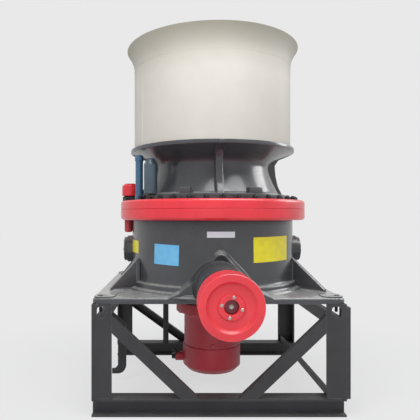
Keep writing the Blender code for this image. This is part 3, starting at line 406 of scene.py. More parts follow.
def extruded(name, outline, low, high, edge_mm, flat=False, place=None):
    """Extrude an outline with bevelled edges: of (x, y) points upward if flat, else of (x, z) along Y."""
    builder = bmesh.new()
    ends = [[builder.verts.new((a, b, depth) if flat else (a, depth, b)) for a, b in outline]
            for depth in (low, high)]
    for end in ends:
        builder.faces.new(end)
    join_rows(builder, ends)
    bmesh.ops.recalc_face_normals(builder, faces=builder.faces)
    sharp = [e for e in builder.edges if e.calc_face_angle(0.0) > math.radians(25)]
    bmesh.ops.bevel(builder, geom=sharp, offset=edge_mm * MM, segments=2, profile=0.5, affect="EDGES",
                    clamp_overlap=True)
    builder.transform(place or about_axis(0))
    return as_piece(name, builder)


def loft(name, sections, smooth_angle, place=Matrix.Identity(4)):
    """Closed solid through sections with equal numbers of points."""
    builder = bmesh.new()
    rows = [[builder.verts.new(place @ Vector(point)) for point in section] for section in sections]
    join_rows(builder, rows)
    builder.faces.new(rows[0])
    builder.faces.new(rows[-1])
    return as_piece(name, builder, smooth_angle)


def dress(piece, material, instead_of=(), body="crusher"):
    """Give a piece its finish, the nodes it stands for and its body."""
    piece.data.materials.clear()
    piece.data.materials.append(material)
    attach(piece, body)
    if instead_of:
        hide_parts(*instead_of)
    return piece


def cast(piece, *instead_of):
    """Dress a piece as a grey casting."""
    return dress(piece, CAST_ENAMEL, instead_of)


print("shape helpers are ready")

# %% [markdown]
# Hexagon bolts and nuts repeat by the dozen. Each has a six sided head with a turned chamfer, most a
# washer, and a nut also the end of its stud. They are drawn into one mesh per flange, true to scale,
# so a ring of them stays one piece. Each is turned a little further than the one before it.

# %% Fasteners
TWIST = 17
WASHER_RADIUS, WASHER_HEIGHT = 0.62, 0.12
HEX_RADIUS, HEX_CHAMFER = 0.575, 0.86
STUD_RADIUS, STUD_TIP = 0.30, 0.24


def fasteners(name, seats, facing, across, height, material, stud=0.0, body="crusher", washer=True):
    """Bolts or nuts on their seats, all facing one way: their sizes are shares of the width across flats."""
    builder = bmesh.new()
    turn = Vector(facing).to_track_quat("Z", "Y").to_matrix().to_4x4()
    base = WASHER_HEIGHT * height if washer else 0.0
    half = HEX_RADIUS * across
    for index, seat in enumerate(seats):
        place = Matrix.Translation(seat) @ turn @ Matrix.Rotation(math.radians(TWIST * index), 4, "Z")
        if washer:
            spin_into(builder, rectangle(0.0, WASHER_RADIUS * across, -0.001, base), 20, place)
        head = place @ Matrix.Translation((0, 0, base))
        spin_into(builder, [(0.0, 0.0), (half, 0.0), (half, HEX_CHAMFER * height),
                            (HEX_CHAMFER * half, height), (0.0, height)], 6, head)
        if stud:
            spin_into(builder, [(0.0, 0.0), (STUD_RADIUS * across, 0.0),
                                (STUD_RADIUS * across, height + 0.8 * stud),
                                (STUD_TIP * across, height + stud), (0.0, height + stud)], 12, head)
    return dress(as_piece(name, builder), material, body=body)


def circle(count, radius, height, start=0.0, centre=AXIS, along="Z"):
    """Points evenly round an axis, at a height along it: start is in degrees."""
    return [centre + TURN[along] @ on_circle(radius, start + 360 * index / count, height)
            for index in range(count)]


def bead(name, path, radius, material, closed=False):
    """Weld bead or pipe: a round section swept along points."""
    curve = bpy.data.curves.new(name, "CURVE")
    curve.dimensions = "3D"
    curve.bevel_depth = radius
    curve.bevel_resolution = 2
    curve.use_fill_caps = True
    spline = curve.splines.new("POLY")
    spline.points.add(len(path) - 1)
    for point, place in zip(spline.points, path):
        point.co = (*place, 1.0)
    spline.use_cyclic_u = closed
    piece = bpy.data.objects.new(name, curve)
    bpy.context.scene.collection.objects.link(piece)
    return dress(piece, material)


print("fasteners and weld beads are ready")

# %% [markdown]
# The hopper is rolled from steel sheet into a drum and flares like a bell at its lip, so that rock
# tipped from above slides in. A lathe profile gives it in one go: up the outer side, round the lip and
# down the inside. The drum closes with one upright weld, and a second weld runs round under the flare.

# %% Hopper
hopper_radius, hopper_base, hopper_seam = span("hopper_shell")
lip_radius, _, hopper_top = span("hopper_flare")
HOPPER_WALL = 12 * MM
FLARE_START = hopper_seam + 0.005
SEAM_TURN = -150


def flare_radius(height):
    """The bell opens slowly, then quickly, towards the lip."""
    share = max(0.0, (height - FLARE_START) / (hopper_top - FLARE_START))
    return hopper_radius + (lip_radius - hopper_radius) * share ** 2.1


outer_side = [(hopper_radius, hopper_base)]
outer_side += [(flare_radius(z), z) for z in evenly(FLARE_START, hopper_top, 14)]
inner_side = [(radius - HOPPER_WALL, z) for radius, z in reversed(outer_side)]
dress(turned("feed_hopper", outer_side + inner_side, 192), WHITE_ENAMEL,
      ("hopper_shell", "hopper_flare"))
bead("hopper_ring_weld", circle(120, hopper_radius, FLARE_START), 0.0016, WHITE_ENAMEL, closed=True)
seam = [AXIS + on_circle(hopper_radius, SEAM_TURN, z) for z in (hopper_base + 0.005, FLARE_START)]
bead("hopper_upright_weld", seam, 0.003, WHITE_ENAMEL)
print("hopper", round(2 * hopper_radius, 3), "m across,", round(hopper_top - hopper_base, 3), "m tall")

# %% [markdown]
# Two heavy flanges, one on each shell, are bolted together all round and painted red. Their outer
# edges are turned to a big radius. A hairline gap is left between them, because that dark line is
# what says that there are two. Studs stand up from the upper flange, each with a blackened nut, except
# where the fittings on the left stand.

# %% Joint rings and their studs
ring_radius, ring_base, joint_low = span("joint_ring_lower")
_, joint_high, ring_top = span("joint_ring_upper")
RING_BORE = 0.58
RING_EDGE = 25 * MM
JOINT_EDGE = 3 * MM
STUDS = 36
STUD_CIRCLE = 0.692
BARE_FROM, BARE_TO = 172, 212

for name, node, base, top, upper in (
    ("lower_flange", "joint_ring_lower", ring_base, joint_low, False),
    ("upper_flange", "joint_ring_upper", joint_high, ring_top, True),
):
    outline = [(ring_radius - RING_EDGE * (1 - s), base + RING_EDGE * (1 - c)) for s, c in quarter(6)]
    outline += [(ring_radius, top - JOINT_EDGE), (ring_radius - JOINT_EDGE, top), (RING_BORE, top),
                (RING_BORE, base)]
    if upper:
        outline = [(radius, base + top - height) for radius, height in outline]
    dress(turned(name, outline, 192, edge_mm=0), RED_ENAMEL, (node,))

seats = [seat for seat in circle(STUDS, STUD_CIRCLE, ring_top, 2.5)
         if not BARE_FROM < math.degrees(math.atan2(seat.y - AXIS.y, seat.x - AXIS.x)) % 360 < BARE_TO]
fasteners("flange_nuts", seats, (0, 0, 1), 0.038, 0.022, BLACK_BOLT, stud=0.008)
print("studs on the joint:", len(seats))

# %% [markdown]
# The topshell is one steel casting: a skirt that narrows to a waist and then flares out under the
# hopper, stiffened by four fins. Castings have generous fillets, because molten steel will not fill a
# sharp corner. The fins are therefore lofted from a section whose foot sweeps out into the skin.

# %% Topshell, fins and spider
FLANGE_RADIUS, topshell_base, _ = span("topshell")
SKIRT_FLANGE_RADIUS = 0.625
SKIRT_TOP = topshell_base + 0.043
SKIRT_RADIUS = 0.565
WAIST_Z = 1.81
WAIST_RADIUS = 0.475
SKIRT_BORE, FLANGE_BORE = 0.545, 0.56
BORE_WAIST = (0.425, 1.80)
FLANGE_TOP = hopper_base - HAIRLINE
FLANGE_BASE = FLANGE_TOP - 0.037


def skin_radius(height):
    """The same curve as the solid: skirt to waist, waist to flange."""
    if height <= WAIST_Z:
        share = (WAIST_Z - height) / (WAIST_Z - SKIRT_TOP)
        return WAIST_RADIUS + (SKIRT_RADIUS - WAIST_RADIUS) * share ** 1.4
    share = min(1.0, (height - WAIST_Z) / (FLANGE_BASE - WAIST_Z))
    return WAIST_RADIUS + (FLANGE_RADIUS - 0.03 - WAIST_RADIUS) * share ** 2.2


cast(turned("topshell_casting", [
    (SKIRT_BORE, topshell_base), (SKIRT_FLANGE_RADIUS, topshell_base), (SKIRT_FLANGE_RADIUS, SKIRT_TOP),
    (SKIRT_RADIUS + 0.03, SKIRT_TOP), (SKIRT_RADIUS + 0.012, SKIRT_TOP + 0.004),
] + [(skin_radius(z), z) for z in evenly(SKIRT_TOP, FLANGE_BASE, 26)[1:]] + [
    (FLANGE_RADIUS, FLANGE_BASE + 0.008), (FLANGE_RADIUS, FLANGE_TOP), (FLANGE_BORE, FLANGE_TOP), BORE_WAIST,
], 192, edge_mm=5), "topshell")

FINS = 4
FIN_TURN = -88.3
FIN_HALF = 0.0275
FIN_FILLET = 0.022
FIN_ROOT = 0.004
FIN_LIMIT = FLANGE_RADIUS - 0.012
FIN_CREST = [(1.585, 0.612), (1.665, 0.570), (1.76, 0.548), (1.845, 0.541), (1.90, 0.578), (1.94, 0.655)]


def fin(name, degrees):
    """A cast rib: the section at each height runs from the skin, up a concave foot, round the crest.

    Its outer edge spans the waist nearly straight."""
    round_edge = 0.35 * FIN_HALF
    outline = [(FIN_HALF + FIN_FILLET * (1 - s), FIN_FILLET * (1 - c), False) for s, c in quarter(4)]
    outline += [(FIN_HALF - round_edge * (1 - c), -round_edge * (1 - s), True) for s, c in quarter(3)]
    outline += [(-side, rise, at_crest) for side, rise, at_crest in reversed(outline)]
    sections = []
    for z in evenly(SKIRT_TOP - FIN_ROOT, FLANGE_BASE + FIN_ROOT, 20):
        section = []
        for side, rise, at_crest in outline:
            radius = (from_table(FIN_CREST, z) if at_crest else skin_radius(z) - FIN_ROOT) + rise
            radius = min(radius, FIN_LIMIT)
            section.append((math.sqrt(max(radius ** 2 - side ** 2, 0.01)), side, z))
        sections.append(section)
    return cast(loft(name, sections, 50, about_axis(degrees)))


for index in range(FINS):
    fin(f"topshell_fin_{index + 1}", FIN_TURN + 360 * index / FINS)

NECK_RADIUS = 0.11
HUB_RADIUS = 0.165
HUB_BASE = 1.83
HUB_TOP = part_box("spider_cap")[0][2] - HAIRLINE
cast(turned("spider_hub", rectangle(NECK_RADIUS + HAIRLINE, HUB_RADIUS, HUB_BASE, HUB_TOP), 96, edge_mm=6))
half_arm = [(0.485, HUB_BASE + 0.02), (0.59, FLANGE_TOP - 0.012), (0.38, HUB_TOP - 0.05),
            (HUB_RADIUS - 0.02, HUB_TOP - 0.02)]
arm_outline = half_arm + [(-x, z) for x, z in reversed(half_arm)]
arm_outline += [(-HUB_RADIUS, HUB_BASE + 0.005), (HUB_RADIUS, HUB_BASE + 0.005)]
cast(extruded("spider_arms", arm_outline, -0.075, 0.075, 14))
SKIRT_LUGS = ((-113, 0.045), (-62, 0.060))
for index, (turn, half_lug) in enumerate(SKIRT_LUGS):
    cast(extruded(f"skirt_lug_{index + 1}", rectangle(0.568, 0.618, -half_lug, half_lug),
                  SKIRT_TOP - 0.004, SKIRT_TOP + 0.045, 7, flat=True, place=about_axis(turn)))
cast(extruded("flange_lug", rectangle(-0.018, 0.018, -0.699, -0.665), FLANGE_BASE + 0.004,
              FLANGE_TOP - 0.006, 4, flat=True, place=about_axis(FIN_TURN + 90)))
print("topshell waist", WAIST_RADIUS, "flange", round(FLANGE_RADIUS, 3))

# %% [markdown]
# Inside is the crushing chamber: a fixed ring of manganese steel, the concave, around a cone of the
# same steel, the mantle. They are seen only from above, through the hopper, and from below. The rest
# of the inner works is turned too, so one loop makes it all from lathe outlines.

# %% Crushing chamber, shaft and cap
cap_radius, cap_base, cap_top = span("spider_cap")
head_radius, shaft_base, shaft_top = span("main_shaft")
_, concave_base, concave_top = span("concave_ring")
mantle_radius, mantle_base, mantle_top = span("mantle")
nut_radius, nut_base, nut_top = span("head_nut")
collar_radius, collar_base, collar_top = span("dust_collar")
sleeve_radius, sleeve_base, sleeve_top = span("eccentric")
SHAFT_RADIUS = 0.1297
CAP_RIM = 0.02
dome = [(cap_radius * math.cos(math.radians(a)), cap_base + CAP_RIM + (cap_top - cap_base - CAP_RIM)
         * math.sin(math.radians(a))) for a in range(0, 90, 10)]
inner_works = {
    "spider_cap": ([(0.0, cap_base), (cap_radius, cap_base)] + dome + [(0.0, cap_top)], CAST_ENAMEL,
                   "cast_grey"),
    "concave_ring": ([
        (0.505, concave_base), (0.544, concave_base), (0.544, joint_high + 0.07), (0.424, concave_top),
        (0.385, concave_top), (0.40, 1.66),
    ], MANGANESE, "manganese"),
    "mantle": ([
        (head_radius + 0.001, mantle_base + 0.01), (mantle_radius, mantle_base),
        (mantle_radius, mantle_base + 0.022), (0.225, mantle_top), (0.166, mantle_top),
        (0.166, mantle_top - 0.01),
    ], MANGANESE, "manganese"),
    "head_nut": (rectangle(NECK_RADIUS + 0.0004, nut_radius, nut_base, nut_top), TURNED_STEEL,
                 "machined_steel"),
    "main_shaft": ([
        (0.0, shaft_base), (SHAFT_RADIUS, shaft_base), (SHAFT_RADIUS, collar_top),
        (head_radius - 0.03, collar_top + 0.03), (head_radius, mantle_base + 0.01),
        (0.165, mantle_top - 0.01), (NECK_RADIUS, mantle_top - 0.01), (NECK_RADIUS, shaft_top),
        (0.0, shaft_top),
    ], TURNED_STEEL, "machined_steel"),
    "dust_collar": (rectangle(0.1306, collar_radius, collar_base, collar_top), CAST_ENAMEL, "cast_grey"),
    "eccentric": (rectangle(0.1303, sleeve_radius, sleeve_base, sleeve_top), TURNED_STEEL,
                  "machined_steel"),
}
for node, (profile, material, slot) in inner_works.items():
    dress(turned(node + "_turned", profile, 128, edge_mm=4), material, (node,))
fasteners("spider_cap_bolts", circle(6, 0.60 * cap_radius, cap_base + 0.081, 30), (0, 0, 1), 0.024, 0.012,
          BLACK_BOLT)
print("mantle", round(2 * mantle_radius, 3), "m across")

# %% [markdown]
# The bottomshell is the biggest casting. Its drum stands on a flat base plate that reaches out to four
# feet, and the joint between them is a wide sweep. The plate is drawn like a turned piece whose outer
# radius follows a rounded rectangle, so its rim keeps an even radius. The bolt holes are cut last.

# %% Bottomshell drum and base plate
low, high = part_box("bottomshell")
BASE_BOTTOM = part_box("post_front_left")[1][2] + HAIRLINE
BASE_TOP = BASE_BOTTOM + 0.045
BASE_HALF_X = (high[0] - low[0]) / 2
FRONT_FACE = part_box("post_front_left")[0][1] - AXIS.y
REAR_FACE = high[1] - AXIS.y
BASE_CORNER = 0.06
RIM_BELOW = 0.006
RIM_ABOVE = 0.024
PLATE_BORE = 0.635
PLATE_FACETS = 720
DRUM_RADIUS = 0.673
DRUM_BORE = 0.615
DRUM_FOOT = 0.69
DRUM_TOP = ring_base - 2 * HAIRLINE
FOOT_LEDGES = (
    (0.775, -0.006), (0.772, 0.0005), (0.757, 0.003), (0.748, 0.008), (0.744, 0.013), (0.740, 0.018),
    (0.732, 0.022), (0.722, 0.024), (0.714, 0.028), (0.709, 0.036), (0.707, 0.048), (0.704, 0.057),
    (0.697, 0.063), (0.689, 0.066), (0.681, 0.071), (0.676, 0.082), (DRUM_RADIUS, 0.105),
)
cast(turned("bottomshell_drum", [
    (DRUM_BORE, BASE_BOTTOM), (DRUM_FOOT, BASE_BOTTOM), (DRUM_FOOT, BASE_TOP - 0.006),
] + [(radius, BASE_TOP + rise) for radius, rise in FOOT_LEDGES] + [
    (DRUM_RADIUS, DRUM_TOP), (DRUM_BORE, DRUM_TOP),
], 192, edge_mm=2), "bottomshell")


def plate_radius(angle, inset):
    """Distance from the crusher's axis to the plate's rounded edge, along a direction."""
    c, s = abs(math.cos(angle)), abs(math.sin(angle))
    hx, r = BASE_HALF_X - inset, BASE_CORNER
    hy = (REAR_FACE if math.sin(angle) > 0 else -FRONT_FACE) - inset
    reach = min(hx / max(c, 1e-9), hy / max(s, 1e-9))
    if reach * c > hx - r and reach * s > hy - r:
        mx, my = hx - r, hy - r
        b = c * mx + s * my
        reach = b + math.sqrt(max(b * b - (mx * mx + my * my - r * r), 0.0))
    return reach


def base_plate():
    """Rings of points from the bore, round the rim and back: an inset of None stands for the bore."""
    stations = [(None, BASE_BOTTOM), (RIM_BELOW, BASE_BOTTOM),
                (0.3 * RIM_BELOW, BASE_BOTTOM + 0.3 * RIM_BELOW), (0.0, BASE_BOTTOM + RIM_BELOW)]
    stations += [(RIM_ABOVE * (1 - c), BASE_TOP - RIM_ABOVE * (1 - s)) for s, c in quarter(5)]
    stations.append((None, BASE_TOP))
    builder = bmesh.new()
    rings = []
    for inset, z in stations:
        ring = []
        for turn in evenly(0, 360, PLATE_FACETS)[:-1]:
            radius = PLATE_BORE if inset is None else plate_radius(math.radians(turn), inset)
            ring.append(builder.verts.new(AXIS + on_circle(radius, turn, z)))
        rings.append(ring)
    join_rows(builder, rings, back=True)
    return as_piece("bottomshell_base_plate", builder)


FOOT_BOLT_X = 0.845
FOOT_BOLT_INWARD = 0.06
CORNERS = [(x, y) for x in (-1, 1) for y in (-1, 1)]


def row_face(y, inward):
    """Depth at a distance inward from the frame's front face (y -1) or rear face (y 1)."""
    return FRONT_FACE + inward if y < 0 else REAR_FACE - inward


def foot_bolt(x, y, z=0.0):
    """Centre of a corner's foundation bolt."""
    return AXIS + Vector((x * FOOT_BOLT_X, row_face(y, FOOT_BOLT_INWARD), z))


def drill(body):
    """Cut the four bolt holes out of a body."""
    hole = rectangle(0.0, 0.02, BASE_BOTTOM - 0.03, BASE_TOP + 0.07)
    for tool in [turned("hole", hole, 40, foot_bolt(x, y), edge_mm=0) for x, y in CORNERS]:
        modifier = body.modifiers.new("cut", "BOOLEAN")
        modifier.operation = "DIFFERENCE"
        modifier.solver = "EXACT"
        modifier.object = tool
        bpy.context.view_layer.update()
        evaluated = body.evaluated_get(bpy.context.evaluated_depsgraph_get())
        result = bpy.data.meshes.new_from_object(evaluated)
        body.modifiers.remove(modifier)
        body.data = result
        bpy.data.objects.remove(tool, do_unlink=True)
    return body


def rounded_rectangle(low, high, radius):
    """Outline with round corners between two opposite corner points."""
    centres = ((high[0] - radius, high[1] - radius), (low[0] + radius, high[1] - radius),
               (low[0] + radius, low[1] + radius), (high[0] - radius, low[1] + radius))
    return [(x + on_circle(radius, 90 * index + step).x, y + on_circle(radius, 90 * index + step).y)
            for index, (x, y) in enumerate(centres) for step in evenly(0, 90, 8)]


FOOT_X = (0.735, 0.890)
FOOT_INWARD = (0.012, 0.160)
FOOT_CORNER = 0.050
cast(drill(base_plate()))
for index, (x, y) in enumerate(CORNERS):
    xs = sorted(x * width for width in FOOT_X)
    ys = sorted(row_face(y, inward) for inward in FOOT_INWARD)
    outline = rounded_rectangle((xs[0], ys[0]), (xs[1], ys[1]), FOOT_CORNER)
    cast(drill(extruded(f"corner_foot_{index + 1}", outline, BASE_TOP - 0.012, BASE_TOP + 0.007, 6,
                        flat=True)))
print("base plate", round(2 * BASE_HALF_X, 3), "by", round(REAR_FACE - FRONT_FACE, 3), "m")

# %% [markdown]
# Four gussets brace the drum on its plate. Each runs out towards a corner foot, because it has to
# carry the bolt's load into the drum. The picture shows the front left one turned further to the side
# than the front right one, so each corner has its own angles. The foot of every face sweeps out in a
# fillet, as all corners of a casting do. The body is lofted along its length.

# %% Gussets with their fillets
GUSSETS = {(-1, -1): (27.0, -7.0, 0.225), (1, -1): (21.0, 25.0, 0.285),
           (-1, 1): (19.1, 33.0, 0.285), (1, 1): (19.1, 33.0, 0.285)}
GUSSET_TOP = 1.088
GUSSET_TOE = BASE_TOP + 0.021
GUSSET_HALF = 0.0165
ROOT_FILLET = 0.022


def gusset_body(name, place, length):
    """Loft of the rib: x runs out from the drum, y across, z up."""
    sections = []
    for reach in [-0.035] + evenly(0.0, length, 16):
        share = max(reach, 0.0) / length
        crest = GUSSET_TOP + (GUSSET_TOE - GUSSET_TOP) * share
        half = GUSSET_HALF + 0.004 * share
        foot = min(0.024, 0.5 * (crest - BASE_TOP))
        edge = min(0.006, 0.3 * (crest - BASE_TOP))
        outline = [(half + foot, BASE_TOP - 0.003)]
        outline += [(half + foot * (1 - s), BASE_TOP + foot * (1 - c)) for s, c in quarter(4)]
        outline += [(half - edge * (1 - c), crest - edge * (1 - s)) for s, c in quarter(3)]
        outline += [(-side, z) for side, z in reversed(outline)]
        sections.append([(reach, side, z) for side, z in outline])
    return cast(loft(name, sections, 40, place))


def corner_strip(name, path, along_a, along_b):
    """A strip with a hollow face in the corner between two surfaces that leave the path."""
    a, b = along_a.normalized(), along_b.normalized()
    hollow = [ROOT_FILLET * (a * (1 - s) + b * (1 - c)) for s, c in quarter(5)]
    return cast(loft(name, [[point - 0.002 * (a + b)] + [point + h for h in hollow] for point in path], 60))


for index, (x, y) in enumerate(CORNERS):
    turn, splay, length = GUSSETS[(x, y)]
    round_drum = Matrix.Rotation(math.radians(turn), 4, "Z")
    outward = round_drum @ Matrix.Translation((DRUM_RADIUS, 0, 0))
    outward = outward @ Matrix.Rotation(math.radians(splay), 4, "Z")
    flip = Matrix.Translation(AXIS) @ Matrix.Diagonal((x, y, 1.0, 1.0))
    gusset_body(f"gusset_{index + 1}", flip @ outward, length)
    along_gusset = flip.to_3x3() @ outward.to_3x3() @ Vector((1, 0, 0))
    for side, letter in ((-1, "a"), (1, "b")):
        along_drum = flip.to_3x3() @ round_drum.to_3x3() @ Vector((0, side, 0))
        foot = outward @ Vector((0.008 - side * 0.004, side * GUSSET_HALF, 0))
        path = [flip @ (foot + Vector((0, 0, z))) for z in (BASE_TOP, GUSSET_TOP - 0.03)]
        corner_strip(f"gusset_root_{index + 1}_{letter}", path, along_drum, along_gusset)
print("gussets:", len(CORNERS))

# %% [markdown]
# The pinion runs in a tunnel at the front, and the casting swells over it in a bell shaped hump with
# a clear ridge. A smooth hump is hard to get from boxes, so it is drawn as a height field: for each
# point of a grid we ask how deep it lies inside the bell outline, and push it out from the drum by a
# rounded step. Within the ridge the face sinks back a little, and outside the bell the sheet dips
# behind the drum, so that no seam shows.

# %% Pinion hump and tunnel
HUMP_PEAK = 1.166
HUMP_SHIFT = 0.012
HUMP_REACH = 0.735
HUMP_FOOT_REACH = 0.699
HUMP_SPREAD = 0.40
BELL = [(0.0, 1.0), (0.05, 0.985), (0.10, 0.95), (0.20, 0.82), (0.30, 0.70), (0.40, 0.57), (0.55, 0.34),
        (0.75, 0.14), (0.95, 0.03), (1.15, 0.0)]
STEP_OUTSIDE, STEP_WIDTH = 0.012, 0.034
RIDGE_WIDTH, FACE_SINK = 0.022, 0.026
BORDER_DIP = 0.006
EASE = 0.03
TUNNEL_RADIUS = 0.17
TUNNEL_BORE = 0.11
TUNNEL_REAR, TUNNEL_REACH = 0.28, 1.05


def clamped(value):
    """Limit to the range from 0 to 1."""
    return min(max(value, 0.0), 1.0)


def eased(share):
    """Soft start and soft end between 0 and 1."""
    return share * share * (3 - 2 * share)


def bell_height(x):
    """Ridge height above the floor at a distance from the middle."""
    return BASE_TOP + (HUMP_PEAK - BASE_TOP) * from_table(BELL, abs(x - HUMP_SHIFT) / HUMP_SPREAD)


def drum_front(x):
    """Depth of the drum's front."""
    return -math.sqrt(max(DRUM_RADIUS ** 2 - x ** 2, 0.01))


def hump_front(x, z):
    """Depth of the casting's face at x, z: pushed out inside the bell, just behind the drum outside."""
    steepness = (bell_height(x + 0.01) - bell_height(x - 0.01)) / 0.02
    depth = (bell_height(x) - z) / math.sqrt(1 + steepness ** 2)
    spread = clamped((abs(x - HUMP_SHIFT) - 0.15) / 0.13)
    reach = HUMP_REACH + (HUMP_FOOT_REACH - HUMP_REACH) * eased(spread)
    rise = eased(clamped((depth + STEP_OUTSIDE) / STEP_WIDTH))
    front = drum_front(x) + (-reach - drum_front(x)) * rise
    if depth > RIDGE_WIDTH:
        front += FACE_SINK * (1 - spread) * (1 - math.exp(-(depth - RIDGE_WIDTH) / EASE))
    return front + BORDER_DIP * eased(clamped((-STEP_OUTSIDE - depth) / EASE))


def pinion_hump():
    """The height field, closed at the back inside the drum's wall."""
    builder = bmesh.new()
    width = 1.15 * HUMP_SPREAD
    rows = [[builder.verts.new(AXIS + Vector((x, hump_front(x, z), z))) for x in evenly(-width, width, 150)]
            for z in evenly(BASE_BOTTOM + 0.004, HUMP_PEAK + 0.094, 90)]
    join_rows(builder, rows, around=False)
    rim = rows[0] + [row[-1] for row in rows[1:]] + rows[-1][-2::-1] + [row[0] for row in rows[-2:0:-1]]
    back = [builder.verts.new((v.co.x, AXIS.y + drum_front(v.co.x - AXIS.x) + 0.03, v.co.z)) for v in rim]
    join_rows(builder, [rim, back])
    builder.faces.new(back)
    return as_piece("pinion_hump", builder, 60)


cast(pinion_hump())
# The tunnel and its cover take the darker grey: painted shade.
dress(turned("pinion_tunnel", [
    (TUNNEL_BORE, TUNNEL_REAR), (TUNNEL_RADIUS, TUNNEL_REAR), (TUNNEL_RADIUS, HUMP_REACH - 0.03),
    (TUNNEL_RADIUS + 0.022, HUMP_REACH - 0.03), (TUNNEL_RADIUS + 0.016, HUMP_REACH + 0.004),
    (TUNNEL_RADIUS + 0.008, HUMP_REACH + 0.016), (TUNNEL_RADIUS + 0.002, HUMP_REACH + 0.03),
    (TUNNEL_RADIUS, HUMP_REACH + 0.045), (TUNNEL_RADIUS, TUNNEL_REACH), (TUNNEL_BORE, TUNNEL_REACH),
], 96, DRIVE, "-Y", edge_mm=4), SHADED_GREY_ENAMEL)
cover_radius, cover_back, cover_front = drive_span("pinion_cover")
COVER_EYE = 0.051
dress(turned("pinion_bearing_cover", [
    (COVER_EYE, cover_back), (cover_radius, cover_back), (cover_radius, cover_back + 0.022),
    (cover_radius - 0.05, cover_back + 0.026), (cover_radius - 0.06, cover_front), (COVER_EYE, cover_front),
], 96, DRIVE, "-Y"), SHADED_GREY_ENAMEL, ("pinion_cover",))
fasteners("pinion_cover_bolts", circle(8, cover_radius - 0.024, cover_back + 0.022, 22.5, DRIVE, "-Y"),
          (0, -1, 0), 0.022, 0.012, ZINC)
print("hump peak", HUMP_PEAK, "m above the floor")

# %% [markdown]
# Inside, the drum carries a hub on four arms. It is seen from below only, so plain turned and
# bevelled pieces do. At the drum's sides are round inspection doors, each held by six bolts.

# %% Hub, arms and side doors
cylinder_radius, cylinder_base, cylinder_top = span("hydroset_cylinder")
INNER_HUB = rectangle(0.2003, 0.29, cylinder_top + HAIRLINE, 1.20)
HUB_ARM = rectangle(0.27, 0.63, 0.82, 1.04)
BOSS_ROOT, BOSS_STEP = 0.62, 0.69
BOSS_BORDER, BOSS_FOOT = 0.012, 0.020
cast(turned("inner_hub", INNER_HUB, 96, edge_mm=6))
for turn in (45, 135, 225, 315):
    cast(extruded(f"hub_arm_{turn}", HUB_ARM, -0.045, 0.045, 12, place=about_axis(turn)))
for side, sign in (("left", -1), ("right", 1)):
    node = f"side_door_{side}"
    door_low, door_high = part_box(node)
    centre = AXIS + Vector((0, 0, middle(node).z))
    inner, outer = sorted((abs(door_low[0] - AXIS.x), abs(door_high[0] - AXIS.x)))
    door_radius = (door_high[2] - door_low[2]) / 2
    cast(turned(f"door_boss_{side}", [
        (0.0, sign * BOSS_ROOT), (door_radius + BOSS_FOOT, sign * BOSS_ROOT),
        (door_radius + BOSS_BORDER, sign * BOSS_STEP),
        (door_radius + BOSS_BORDER, sign * (inner - HAIRLINE)), (0.0, sign * (inner - HAIRLINE)),
    ], 72, centre, "X"))
    cast(turned(f"inspection_door_{side}", rectangle(0.0, door_radius, sign * inner, sign * outer), 72,
                centre, "X", edge_mm=4), node)
    fasteners(f"door_bolts_{side}", circle(6, door_radius - 0.020, sign * outer, 90, centre, "X"),
              (sign, 0, 0), 0.016, 0.0055, ZINC, washer=False)
print("hub seat at", round(cylinder_top + HAIRLINE, 3))

# %% [markdown]
# The hydraulic cylinder below sets the height of the shaft and so the width of the crushing gap. It
# hangs from the hub by a bolted flange and ends in a chamfered cover with a side port. It is painted
# the same red as the rings, but always stands in shade, so its red is drawn deeper: painted shade.

# %% Hydraulic cylinder
end_radius, end_base, end_top = span("hydroset_cover")
BODY_RADIUS = 0.232
FLANGE_BELOW = cylinder_top - 0.083
PORT = AXIS + Vector((0, 0, middle("hydroset_port").z))
PORT_REACH = AXIS.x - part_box("hydroset_port")[0][0] - 0.03
dress(turned("hydraulic_cylinder", [
    (0.0, cylinder_base + 0.001), (BODY_RADIUS + 0.004, cylinder_base + 0.0002),
    (BODY_RADIUS + 0.001, cylinder_base + 0.012), (BODY_RADIUS, cylinder_top - 0.12),
    (BODY_RADIUS + 0.008, cylinder_top - 0.098), (BODY_RADIUS + 0.022, FLANGE_BELOW),
    (cylinder_radius, FLANGE_BELOW), (cylinder_radius, cylinder_top), (0.0, cylinder_top),
], 128, edge_mm=4), SHADED_RED_ENAMEL, ("hydroset_cylinder",))
dress(turned("hydraulic_cylinder_cover", [
    (0.0, end_base), (end_radius - 0.04, end_base), (end_radius, end_base + 0.04),
    (end_radius, end_top - 0.008), (end_radius - 0.006, end_top - 0.0002), (0.0, end_top - 0.001),
], 128, edge_mm=2), SHADED_RED_ENAMEL, ("hydroset_cover",))
fasteners("cylinder_flange_bolts", circle(12, 0.275, FLANGE_BELOW, 15), (0, 0, -1), 0.024, 0.012,
          SHADED_RED_ENAMEL)
fasteners("cylinder_cover_bolts", circle(8, 0.15, end_base, 22.5), (0, 0, -1), 0.026, 0.014, BLACK_BOLT)
dress(turned("side_port", rectangle(0.0, 0.038, 0.02 - end_radius, -PORT_REACH), 48, PORT, "X"),
      SHADED_RED_ENAMEL, ("hydroset_port",))
fasteners("port_fitting", [PORT - Vector((PORT_REACH, 0, 0))], (-1, 0, 0), 0.044, 0.030, BLACK_BOLT,
          washer=False)
ELBOW = ((-0.300, 0.018), (-0.302, 0.040), (-0.312, 0.054), (-0.332, 0.060))
bead("port_elbow", [PORT + Vector((x, -0.012, z)) for x, z in ELBOW], 0.014, BLACK_BOLT)
fasteners("port_elbow_nut", [PORT + Vector((-0.300, -0.012, 0.028))], (0, 0, 1), 0.034, 0.018, BLACK_BOLT,
          washer=False)
fasteners("cylinder_plug", [AXIS + Vector((-0.004, 0.001 - BODY_RADIUS, 0.368))], (0, -1, 0), 0.03, 0.014,
          SHADED_RED_ENAMEL)
print("cylinder hangs down to", round(end_base, 3))

# %% [markdown]
# The pulley is a cast iron sheave for six V belts, which wedge into its grooves. It sits on a split
# bush that four screws draw tight on the shaft. The whole drive turns, so these pieces ride on the
# drive body.

